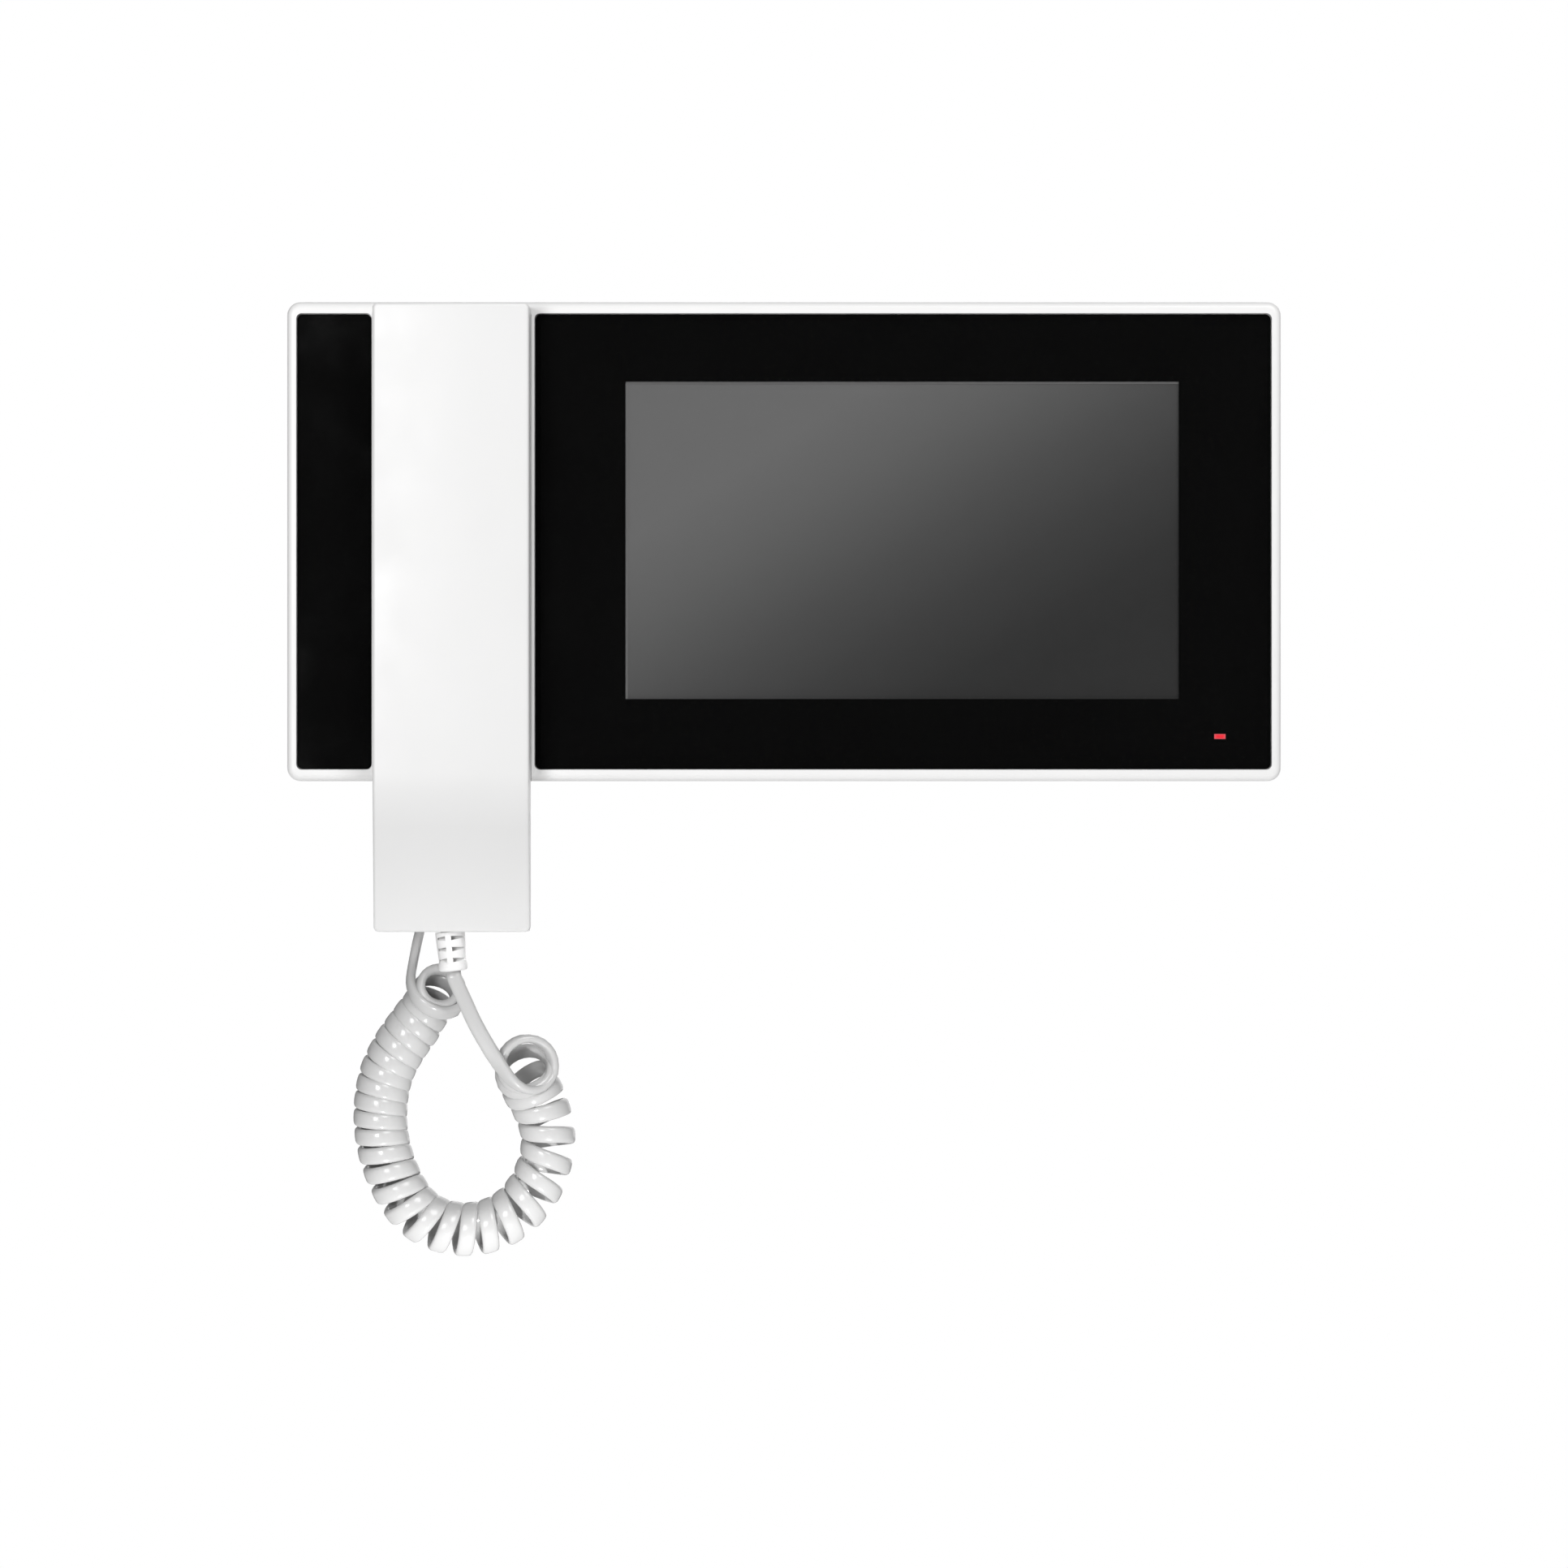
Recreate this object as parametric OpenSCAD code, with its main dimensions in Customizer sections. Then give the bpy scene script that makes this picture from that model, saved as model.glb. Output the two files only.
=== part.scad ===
// Wall-mounted video intercom monitor with a corded handset in a vertical cradle.
// The wall is the plane y = 0 and the front faces -Y. "Depth" always means distance off the wall.

/* [Body] */
// Overall width of the monitor
body_w = 280; // [276:1:290]
// Overall height of the monitor
body_h = 135; // [134:1:142]
// Depth from the wall to the front of the frame
body_d = 27; // [27:0.5:30]
// Corner radius of the body outline
body_corner_r = 3.8; // [3.2:0.2:5]
// Rounding of the frame's front edge
front_edge_r = 1.8; // [1:0.2:2.4]
// Rounding of the housing's rear edge
rear_edge_r = 1.6; // [1:0.2:2]
// Wall thickness of the mouldings
wall_t = 2; // [1.8:0.1:2.2]
// Width of the white border beside the glass
border_side = 2.7; // [2.4:0.1:3.5]
// Width of the white border above and below the glass
border_top = 3.3; // [2.8:0.1:4]
// Corner radius of the glass panels
glass_corner_r = 1.6; // [1:0.2:2.4]

/* [Screen] */
// Width of the visible window
window_w = 156; // [150:1:158]
// Height of the visible window
window_h = 89.5; // [86:0.5:92]
// Centre of the window to the right of the body's centre
window_x = 33.3; // [30:0.1:35]
// Centre of the window above the body's centre
window_z = 0.4; // [-2:0.1:2]
// Thickness of the screen panel
lcd_t = 5.5; // [4.5:0.5:5.5]

/* [Handset] */
// Centre line of the handset, from the body's centre
handset_x = -93.2; // [-94:0.1:-92]
// Width of the handset's front shell
handset_w = 43.8; // [42:0.2:44]
// Height of the handset's top end above the body's centre
handset_top = 66.3; // [65.5:0.1:67]
// Height of the handset's cord end
handset_bottom = -109.8; // [-114:0.2:-106]
// Depth from the wall to the handset's front
handset_front = 43; // [41:0.5:46]
// Height of the crease where the lower part leans back
crease_z = -68.5; // [-72:0.5:-64]
// Lean of the lower part in degrees
lean = 8.3; // [4:0.1:9]
// Rounding along the handset's long front edges
handset_edge_r = 1.6; // [1:0.2:2]

/* [Wall bracket] */
// Upright hole spacing for a single wall box
box_spacing_z = 83.5; // [83.5:0.1:84]
// Level hole spacing for a round wall box
box_spacing_x = 60; // [60:0.1:61]
// Radius of the wall screw holes
wall_hole_r = 2.2; // [2:0.1:2.6]
// Side of the square cable window
cable_window = 36; // [30:1:40]

/* [Cord] */
// Wide side of the cord's flat section
cord_w = 4.8; // [4:0.2:5.2]
// Narrow side of the cord's flat section
cord_t = 2.4; // [2:0.2:2.8]
// Outer diameter of the coiled part
coil_od = 15.3; // [14:0.1:15.6]

/* [Hidden] */
$fn = 64;

// Colours
white_abs = "#F4F4F3";
inner_white = "#E6E6E4";
black_glass = "#0B0B0B";
dark_print = "#080808";
steel = "#B9BCBF";
board_green = "#1F5B3A";
dark_resin = "#1C1D1F";
cord_white = "#E6E6E6";
eps = 0.01;
thread_gap = 0.05;

// Depth levels, counted from the wall
bracket_t = 1.2;
housing_back = 0.3;
recess_floor = 3.3;
recess_inner = recess_floor + wall_t;
split_d = body_d - 10;
glass_t = 2;
glass_front = body_d - 0.2;
glass_back = glass_front - glass_t;
mask_t = 0.2;
mask_back = glass_back - mask_t;
tape_t = 0.3;
ledge_front = mask_back - tape_t;
ledge_back = ledge_front - wall_t;
lcd_front = mask_back - 0.4;
lcd_back = lcd_front - lcd_t;
board_t = 1.6;
board_back = 13.4;
board_front = board_back + board_t;
tray_front = body_d - 7;
tray_back = tray_front - wall_t;

// Outline edges
glass_left = -body_w / 2 + border_side;
glass_right = body_w / 2 - border_side;
glass_half_h = body_h / 2 - border_top;
channel_w = 44;
rib_t = 1;
channel_l = handset_x - channel_w / 2;
channel_r = handset_x + channel_w / 2;
channel_top = 64;
fit_gap = 0.1;
lcd_w = 165;
lcd_h = 100;
shield_t = 0.4;
touch_board_t = 1.2;

// Screws
m3_r = 1.5;
m3_head_r = 2.8;
m2_r = 1;
m2_head_r = 1.9;
frame_screw_at = [[-132, -60], [-132, 60], [72, -60], [72, 60], [132, -60], [132, 60]];
frame_seat = 5;
frame_tube_end = 8;
tray_screw_at = [[-119.4, -50], [-119.4, 50], [-67, -50], [-67, 50]];
board_screw_at = [[-37, -41], [-37, 41], [73, -41], [73, 41]];
side_screw_at = [[123, 0], [124, -27]];
lcd_screw_at = [[-20, -55], [-20, 55.8], [90, -55], [90, 55.8]];
hook_at = [[-52, 25], [52, 25], [-52, -35], [52, -35]];

// Bracket and its recess in the housing
bracket_half_w = 60;
bracket_top = 53;
bracket_bottom = -57;
recess_side = 62;
recess_top = 62;
recess_bottom = -62;
lock_pocket_top = -54;
lock_pocket_d = 12;
lock_seat_z = -65;
lock_d = 7;
head_room_r = 5;

// Controls on the right side, all on one small board
dial_r = 7.5;
dial_t = 3;
dial_d = 8;
dial_x = 133.3;
volume_z = 12;
brightness_z = -12;
power_z = -40;
power_travel = 4;
slider_half_h = 2;
side_board_d = 15;
side_board_t = 1.2;
pot_shaft_r = 2;
running_gap = 0.05;

// Status light
led_x = 122.9;
led_z = -54.9;
led_w = 3.2;
led_h = 1.4;

// Cradle details
ear_z = 38;
ear_pocket_r = 17.5;
ear_pocket_floor = tray_front - 7.5;
plunger_z = -2;
plunger_r = 3;
plunger_stem_r = 2;
plunger_travel = 3;
switch_front = 9;
collar_t = 1;
collar_back = tray_back - plunger_travel - 2 * collar_t;
magnet_z = -25;

// Handset inside
handset_wall = 2;
handset_split = body_d + 0.5;
handset_back = tray_front + 0.4;
handset_floor = handset_back + handset_wall;
handset_rear_w = handset_w - 1;
handset_rear_top = 63.4;
handset_deep = 60;
handset_tip_r = 1.5;
end_chamfer = 1;
chin_back = 13;
ear_boss_r = 15;
ear_boss_back = handset_back - 6.1;
ear_inner = ear_boss_back + 1.6;
ear_bore_r = 12.5;
ear_part_r = 12.4;
mic_z = -89;
mic_r = 4.85;
handset_screw_z = [14, -55];
handset_screw_seat = handset_back + 2.6;
handset_screw_pad = handset_back + 4.6;
handset_board_z = -42;
handset_board_d = handset_back + 4;
boot_d = 30.5;
boot_top_r = 4.2;
boot_end_r = 3.7;
boot_len = 10.7;
boot_lean = 5;
boot_x = -93.9;
boot_neck_r = 2.6;

// Cord jack on the underside, and the cord's routes as [x, depth, z] points
jack_x = -95;
jack_d = 8;
lead_base_path = [
    [-95, 8, -69.5], [-95, 8, -75], [-97, 8, -84], [-99.5, 8, -92], [-101.5, 8.5, -100],
    [-103, 9.5, -108], [-104.5, 11, -115], [-105.5, 13, -121], [-105.5, 15, -126]
];
coil_path = [
    [-97.5, 18.5, -125.5], [-98.5, 15.5, -127], [-101, 13, -131], [-105, 12, -137], [-109.5, 11.5, -143.5],
    [-113, 11, -151], [-114.5, 11, -160], [-114, 11, -169], [-111.5, 11, -178], [-107, 11, -186.5],
    [-101, 11, -192], [-93, 11, -194.5], [-85, 11, -194], [-77.5, 11, -190.5], [-71.5, 11, -184],
    [-68, 11.5, -176], [-67, 12.5, -167.5], [-69, 14, -159], [-71.5, 16.5, -152], [-72, 20.5, -148],
    [-71.8, 24, -147]
];
lead_handset_path = [
    [-93, 30.5, -121], [-92.6, 30.5, -123], [-89.5, 29.5, -130], [-87, 29, -135.5], [-84, 28, -141],
    [-81, 27, -146], [-77.5, 26, -151], [-73.5, 25, -154.5], [-69.5, 24, -154.5]
];

// ---------- Helpers ----------

// Box between two x, two z and two depth limits
module block(x, z, d) {
    translate([x[0], -d[1], z[0]])
    cube([x[1] - x[0], d[1] - d[0], z[1] - z[0]]);
}

// Box centred on cx and cz
module centred_block(cx, cz, w, h, d) {
    block([cx - w / 2, cx + w / 2], [cz - h / 2, cz + h / 2], d);
}

// Extrudes an outline drawn in x and z, between two depths
module off_wall(d) {
    translate([0, -d[0], 0])
    rotate([90, 0, 0])
    linear_extrude(height = d[1] - d[0])
    children();
}

// Round bar square to the wall, between two depths
module bar(x, z, r, d) {
    translate([x, -d[0], z])
    rotate([90, 0, 0])
    cylinder(r = r, h = d[1] - d[0]);
}

// Rectangle with round corners
module round_rect(w, h, r) {
    square([w - 2 * r, h], center = true);
    square([w, h - 2 * r], center = true);
    for (sx = [-1, 1], sz = [-1, 1])
        translate([sx * (w / 2 - r), sz * (h / 2 - r)])
        circle(r = r);
}

// Plate with round corners, centred on cx and cz
module plate(cx, cz, w, h, r, d) {
    off_wall(d)
    translate([cx, cz])
    round_rect(w, h, r);
}

// Half section of a slab from its corner centre outwards, with its far edge rounded
module edge_profile(r, e, t) {
    square([r - e, t]);
    square([r, t - e]);
    translate([r - e, t - e])
    circle(r = e);
}

// Slab of thickness t on the XY plane, corners of radius r, top edge rounded by e
module soft_slab(w, h, r, e, t) {
    inner_w = w - 2 * r;
    inner_h = h - 2 * r;
    translate([-inner_w / 2, -inner_h / 2, 0])
    cube([inner_w, inner_h, t]);
    for (s = [0, 1]) {
        rotate([0, 0, 180 * s])
        translate([inner_w / 2, inner_h / 2, 0])
        rotate([90, 0, 0])
        linear_extrude(height = inner_h)
        edge_profile(r, e, t);
        rotate([0, 0, 90 + 180 * s])
        translate([inner_h / 2, inner_w / 2, 0])
        rotate([90, 0, 0])
        linear_extrude(height = inner_w)
        edge_profile(r, e, t);
    }
    for (sx = [-1, 1], sy = [-1, 1])
        translate([sx * inner_w / 2, sy * inner_h / 2, 0])
        rotate([0, 0, sx > 0 ? (sy > 0 ? 0 : 270) : (sy > 0 ? 90 : 180)])
        rotate_extrude(angle = 90)
        intersection() {
            square([r, t]);
            edge_profile(r, e, t);
        }
}

// Pan head screw driven from the rear: head below the seat, thread towards the front
module screw(x, z, r, head_r, seat, tip) {
    bar(x, z, r, [seat - eps, tip]);
    difference() {
        bar(x, z, head_r, [seat - head_r * 0.7, seat]);
        for (turn = [0, 90])
            translate([x, -seat + head_r * 0.7, z])
            rotate([0, turn, 0])
            cube([head_r * 1.2, head_r * 0.6, head_r * 0.25], center = true);
    }
}

// Point of a route given as [x, depth, z]
function at(p) = [p[0], -p[1], p[2]];
function unit(v) = v / norm(v);
function heading(path, i) = unit(at(path[min(i + 1, len(path) - 1)]) - at(path[max(i - 1, 0)]));

// Tube of oval section swept along a route. The narrow side faces the reference direction.
module sweep(path, wide, narrow, sides, reference) {
    n = len(path);
    points = [
        for (i = [0 : n - 1])
        let (along = heading(path, i), across = unit(cross(along, reference)), over = cross(across, along))
        for (k = [0 : sides - 1])
        let (turn = 360 * k / sides)
        at(path[i]) + across * (wide / 2 * cos(turn)) + over * (narrow / 2 * sin(turn))
    ];
    skin = [
        for (i = [0 : n - 2], k = [0 : sides - 1])
        [i * sides + k, i * sides + (k + 1) % sides, (i + 1) * sides + (k + 1) % sides, (i + 1) * sides + k]
    ];
    near_end = [[for (k = [0 : sides - 1]) sides - 1 - k]];
    far_end = [[for (k = [0 : sides - 1]) (n - 1) * sides + k]];
    polyhedron(points = points, faces = concat(skin, near_end, far_end));
}

// ---------- Wall bracket and housing ----------

module bracket_hook(x, z) {
    neck_w = 8;
    neck_t = 1.6;
    lip_rise = 3;
    lip_t = 1.2;
    back = bracket_t - eps;
    lip_back = recess_inner + 0.2;
    block([x - neck_w / 2, x + neck_w / 2], [z - neck_t, z], [back, lip_back + lip_t]);
    block([x - neck_w / 2, x + neck_w / 2], [z - neck_t, z + lip_rise], [lip_back, lip_back + lip_t]);
}

module wall_bracket() {
    bracket_h = bracket_top - bracket_bottom;
    bracket_z = (bracket_top + bracket_bottom) / 2;
    tab_half_w = 6;
    tab_reach = 10;
    color(steel)
    difference() {
        union() {
            plate(0, bracket_z, 2 * bracket_half_w, bracket_h, 6, [0, bracket_t]);
            for (p = hook_at)
                bracket_hook(p[0], p[1]);
            block([-tab_half_w, tab_half_w], [bracket_bottom, bracket_bottom + bracket_t], [0, tab_reach]);
        }
        centred_block(0, 0, cable_window, cable_window, [-1, 2]);
        for (s = [-1, 1]) {
            bar(0, s * box_spacing_z / 2, wall_hole_r, [-1, 2]);
            bar(s * box_spacing_x / 2, 0, wall_hole_r, [-1, 2]);
        }
        translate([0, -lock_d, bracket_bottom - 1])
        cylinder(r = m3_r + thread_gap, h = 4);
    }
}

module bracket_lock_screw() {
    head_h = 2;
    tip_z = bracket_bottom + 2.6;
    color(steel)
    translate([0, -lock_d, 0])
    difference() {
        union() {
            translate([0, 0, lock_seat_z - head_h])
            cylinder(r = m3_head_r, h = head_h);
            translate([0, 0, lock_seat_z - eps])
            cylinder(r = m3_r, h = tip_z - lock_seat_z);
        }
        for (turn = [0, 90])
            translate([0, 0, lock_seat_z - head_h])
            rotate([0, 0, turn])
            cube([3.2, 0.7, 2.2], center = true);
    }
}

module vent_row(x, pitch, count, z) {
    slot_w = 2;
    for (i = [0 : count - 1])
        block([x + i * pitch, x + i * pitch + slot_w], [z - wall_t, z + wall_t], [5, 13]);
}

module housing_outer() {
    rotate([90, 0, 0])
    translate([0, 0, split_d])
    mirror([0, 0, 1])
    soft_slab(body_w, body_h, body_corner_r, rear_edge_r, split_d - housing_back);
}

module housing_cavity() {
    inner_w = body_w - 2 * wall_t;
    inner_h = body_h - 2 * wall_t;
    difference() {
        plate(0, 0, inner_w, inner_h, body_corner_r - wall_t + eps, [housing_back + wall_t, split_d + 1]);
        centred_block(0, 0, 2 * (recess_side + wall_t), inner_h + 2, [0, recess_inner]);
        block([-8.5, 8.5], [-body_h / 2, lock_pocket_top + wall_t], [0, lock_pocket_d + wall_t]);
        for (p = frame_screw_at)
            bar(p[0], p[1], 4.5, [0, frame_tube_end]);
        for (p = board_screw_at)
            bar(p[0], p[1], 3, [0, board_back]);
        for (p = side_screw_at)
            bar(p[0], p[1], 2.5, [0, side_board_d]);
        bar(handset_x, plunger_z, 5, [0, 3]);
    }
}

module rear_housing() {
    color(white_abs)
    difference() {
        housing_outer();
        housing_cavity();
        // recess for the bracket, and the pocket for its lock tab
        block([-recess_side, recess_side], [recess_bottom, recess_top], [-1, recess_floor]);
        block([-6.5, 6.5], [recess_bottom, lock_pocket_top], [-1, lock_pocket_d]);
        centred_block(0, 0, cable_window, cable_window, [0, recess_inner + 1]);
        for (s = [-1, 1]) {
            bar(0, s * box_spacing_z / 2, head_room_r, [0, recess_inner + 1]);
            bar(s * box_spacing_x / 2, 0, head_room_r, [0, recess_inner + 1]);
        }
        for (p = hook_at)
            block([p[0] - 5, p[0] + 5], [p[1] - 8, p[1]], [0, recess_inner + 1]);
        // lock screw, counterbored from below
        translate([0, -lock_d, -body_h / 2 - 1]) {
            cylinder(r = m3_r + 0.2, h = 8);
            cylinder(r = m3_head_r + 0.4, h = lock_seat_z + body_h / 2 + 1);
        }
        for (p = frame_screw_at) {
            bar(p[0], p[1], m3_head_r + 0.5, [0, frame_seat]);
            bar(p[0], p[1], m3_r + 0.2, [0, frame_tube_end + 1]);
        }
        for (p = board_screw_at)
            bar(p[0], p[1], m3_r + thread_gap, [board_back - 6, board_back + 1]);
        for (p = side_screw_at)
            bar(p[0], p[1], m2_r + thread_gap, [side_board_d - 6, side_board_d + 1]);
        // vents above and below, speaker slots, cord jack and side controls
        vent_row(-36, 6, 20, body_h / 2);
        vent_row(14, 6, 8, -body_h / 2);
        vent_row(90, 4, 9, -body_h / 2);
        centred_block(jack_x, -body_h / 2, 13.2, 6, [jack_d - 5.6, jack_d + 5.6]);
        for (z = [volume_z, brightness_z])
            centred_block(body_w / 2, z, 3 * wall_t, 12.6, [dial_d - 0.4, dial_d + dial_t + 0.4]);
        block([body_w / 2 - 2 * wall_t, body_w / 2 + 1],
            [power_z - slider_half_h - 0.4, power_z + power_travel + slider_half_h + 0.4],
            [dial_d - 0.4, dial_d + dial_t + 0.4]);
    }
}

// ---------- Front frame, glass and tray ----------

module frame_openings() {
    lcd_room = 2 * (shield_t + 0.4);
    // rebates for the two glass panels
    plate((glass_left + channel_l - rib_t) / 2, 0, channel_l - rib_t - glass_left + 2 * fit_gap,
        2 * (glass_half_h + fit_gap), glass_corner_r, [ledge_front, body_d + 1]);
    plate((glass_right + channel_r + rib_t) / 2, 0, glass_right - channel_r - rib_t + 2 * fit_gap,
        2 * (glass_half_h + fit_gap), glass_corner_r, [ledge_front, body_d + 1]);
    // openings in the ledge for the screen, the touch keys and the status light
    centred_block(window_x, window_z, lcd_w + lcd_room, lcd_h + lcd_room, [split_d, body_d]);
    centred_block(-127, 0, 14, 110, [split_d, body_d]);
    centred_block(led_x, led_z, led_w + 1.6, led_h + 1.6, [split_d, body_d]);
}

module front_frame() {
    inner_w = body_w - 2 * wall_t;
    inner_h = body_h - 2 * wall_t;
    color(white_abs)
    difference() {
        rotate([90, 0, 0])
        translate([0, 0, split_d])
        soft_slab(body_w, body_h, body_corner_r, front_edge_r, body_d - split_d);
        difference() {
            plate(0, 0, inner_w, inner_h, body_corner_r - wall_t + eps, [split_d - 1, ledge_back]);
            for (p = frame_screw_at)
                bar(p[0], p[1], 3.5, [0, body_d]);
            for (p = tray_screw_at)
                bar(p[0], p[1], 2.4, [tray_front, body_d]);
            block([channel_l - rib_t, channel_l], [-body_h, channel_top + rib_t], [tray_front, body_d]);
            block([channel_r, channel_r + rib_t], [-body_h, channel_top + rib_t], [tray_front, body_d]);
            block([channel_l, channel_r], [channel_top, body_h], [tray_front, body_d]);
            for (s = [-1, 1])
                bar(led_x, led_z + 3.7 * s, 0.9, [split_d + 1, body_d]);
        }
        frame_openings();
        block([channel_l, channel_r], [-body_h, channel_top], [tray_front, body_d + 1]);
        for (p = frame_screw_at)
            bar(p[0], p[1], m3_r + thread_gap, [0, frame_seat + 12]);
        for (p = tray_screw_at)
            bar(p[0], p[1], m2_r + thread_gap, [0, tray_front + 3.2]);
        for (p = lcd_screw_at)
            bar(p[0], p[1], m2_r + thread_gap, [0, ledge_back + 1.6]);
    }
    color(white_abs)
    for (p = frame_screw_at)
        difference() {
            bar(p[0], p[1], 3.5, [frame_tube_end, split_d]);
            bar(p[0], p[1], m3_r + thread_gap, [0, split_d + 1]);
        }
}

module frame_screws() {
    color(steel)
    for (p = frame_screw_at)
        screw(p[0], p[1], m3_r, m3_head_r, frame_seat, frame_seat + 11);
}

module cradle_tray() {
    side_lap = 7;
    bottom = -body_h / 2 + wall_t;
    pocket_wall = 1.5;
    color(inner_white)
    difference() {
        union() {
            block([channel_l - side_lap, channel_r + side_lap], [bottom, channel_top],
                [tray_back, tray_front]);
            bar(handset_x, ear_z, ear_pocket_r + pocket_wall, [ear_pocket_floor - pocket_wall, tray_front]);
            centred_block(handset_x, magnet_z, 14, 24, [tray_back - 3.5, tray_front]);
        }
        bar(handset_x, ear_z, ear_pocket_r, [ear_pocket_floor, tray_front + 1]);
        bar(handset_x, plunger_z, plunger_r + running_gap, [0, tray_front + 1]);
        centred_block(handset_x, magnet_z, 10.2, 20.2, [0, tray_back]);
        for (p = tray_screw_at)
            bar(p[0], p[1], m2_r + 0.2, [0, tray_front + 1]);
    }
}

module tray_screws() {
    color(steel)
    for (p = tray_screw_at)
        screw(p[0], p[1], m2_r, m2_head_r, tray_back, tray_front + 3);
}

module left_glass() {
    w = channel_l - rib_t - glass_left;
    color(black_glass)
    plate(glass_left + w / 2, 0, w, 2 * glass_half_h, glass_corner_r, [glass_back, glass_front]);
}

module left_mask() {
    w = channel_l - rib_t - glass_left;
    color(dark_print)
    plate(glass_left + w / 2, 0, w - 0.2, 2 * glass_half_h - 0.2, glass_corner_r, [mask_back, glass_back]);
}

module main_glass() {
    w = glass_right - channel_r - rib_t;
    color(black_glass)
    plate(glass_right - w / 2, 0, w, 2 * glass_half_h, glass_corner_r, [glass_back, glass_front]);
}

module main_mask() {
    w = glass_right - channel_r - rib_t;
    color(dark_print)
    difference() {
        plate(glass_right - w / 2, 0, w - 0.2, 2 * glass_half_h - 0.2, glass_corner_r,
            [mask_back, glass_back]);
        centred_block(window_x, window_z, window_w, window_h, [0, body_d]);
        centred_block(led_x, led_z, led_w, led_h, [0, body_d]);
    }
}

// Adhesive ring between a ledge and the glass panel on it
module tape_ring(left, right) {
    tape_w = 2;
    cx = (left + right) / 2;
    w = right - left - 0.4;
    h = 2 * glass_half_h - 0.4;
    difference() {
        plate(cx, 0, w, h, glass_corner_r, [ledge_front, mask_back]);
        centred_block(cx, 0, w - 2 * tape_w, h - 2 * tape_w, [0, body_d]);
    }
}

module glass_tapes() {
    color("#3A3A3C") {
        tape_ring(glass_left, channel_l - rib_t);
        tape_ring(channel_r + rib_t, glass_right);
    }
}

// ---------- Screen and boards ----------

module lcd_panel() {
    rim = 0.3;
    color("#4A4C50")
    difference() {
        centred_block(window_x, window_z, lcd_w, lcd_h, [lcd_back, lcd_front]);
        centred_block(window_x + rim, window_z - rim, window_w - 2 * rim, window_h - 2 * rim,
            [lcd_front - 0.2, body_d]);
    }
}

module lcd_shield() {
    w = lcd_w + 2 * shield_t;
    h = lcd_h + 2 * shield_t;
    ear_w = 9;
    color(steel)
    difference() {
        union() {
            centred_block(window_x, window_z, w, h, [lcd_back - shield_t, ledge_back]);
            for (p = lcd_screw_at)
                block([p[0] - ear_w / 2, p[0] + ear_w / 2],
                    p[1] > 0 ? [window_z + lcd_h / 2, p[1] + 3] : [p[1] - 3, window_z - lcd_h / 2],
                    [ledge_back - shield_t, ledge_back]);
        }
        centred_block(window_x, window_z, lcd_w, lcd_h, [lcd_back, body_d]);
        for (p = lcd_screw_at)
            bar(p[0], p[1], m2_r + 0.2, [0, body_d]);
        centred_block(window_x, window_z - lcd_h / 2, 44, 6, [0, lcd_back + 2]);
    }
}

module lcd_screws() {
    color(steel)
    for (p = lcd_screw_at)
        screw(p[0], p[1], m2_r, m2_head_r, ledge_back - shield_t, ledge_back + 1.4);
}

module lcd_flex() {
    flex_t = 0.2;
    sides = [window_x - 18, window_x + 18];
    panel_edge = window_z - lcd_h / 2;
    loop = panel_edge - 3;
    leave = lcd_back + 1;
    color("#B4762A") {
        block(sides, [loop, loop + flex_t], [board_front, leave]);
        block(sides, [loop, panel_edge], [leave, leave + flex_t]);
        block(sides, [loop, panel_edge + 8], [board_front, board_front + flex_t]);
    }
}

module main_board() {
    color(board_green)
    difference() {
        block([-42, 78], [-46, 46], [board_back, board_front]);
        for (p = board_screw_at)
            bar(p[0], p[1], m3_r + 0.15, [0, body_d]);
    }
}

// Board screws are driven from the front, so the common screw is turned round at its seat
module front_screw(x, z, r, head_r, seat, reach) {
    translate([x, -seat, z])
    rotate([0, 0, 180])
    screw(0, 0, r, head_r, 0, reach);
}

module board_screws() {
    color(steel) {
        for (p = board_screw_at)
            front_screw(p[0], p[1], m3_r, m3_head_r, board_front, board_t + 5);
        for (p = side_screw_at)
            front_screw(p[0], p[1], m2_r, m2_head_r, side_board_d + side_board_t, side_board_t + 5);
    }
}

module shield_can() {
    color(steel)
    difference() {
        centred_block(45, 20, 34, 26, [board_front, board_front + 2.6]);
        centred_block(45, 20, 33.4, 25.4, [board_front, board_front + 2.3]);
    }
}

module chips() {
    color(dark_resin) {
        centred_block(45, 20, 14, 14, [board_front, board_front + 1.4]);
        centred_block(0, 25, 12, 8, [board_front, board_front + 1.2]);
        centred_block(2, 4, 10, 6, [board_front, board_front + 1.2]);
        centred_block(52, -12, 9, 9, [board_front, board_front + 1.2]);
        for (i = [0 : 3])
            centred_block(-30 + 7 * i, -12, 4, 5, [board_front, board_front + 1]);
    }
}

module power_parts() {
    can_r = 5;
    color("#3B3F46") {
        for (p = [[26, -34], [39, -34], [26, -20]])
            bar(p[0], p[1], can_r, [board_back - 7, board_back]);
        centred_block(64, 12, 14, 12, [board_back - 6, board_back]);
        centred_block(-30, 16, 12, 10, [board_back - 5, board_back]);
    }
}

module terminal_block() {
    poles = 6;
    pitch = 4.6;
    color("#2E7A4A")
    difference() {
        block([-14.5, 14.5], [-40, -28], [board_back - 7, board_back]);
        for (i = [0 : poles - 1])
            block([-13.2 + i * pitch, -9.8 + i * pitch], [-32, -27], [board_back - 5.6, board_back - 2.2]);
        for (i = [0 : poles - 1])
            bar(-11.5 + i * pitch, -36, 1.4, [0, board_back - 4]);
    }
}

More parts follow.
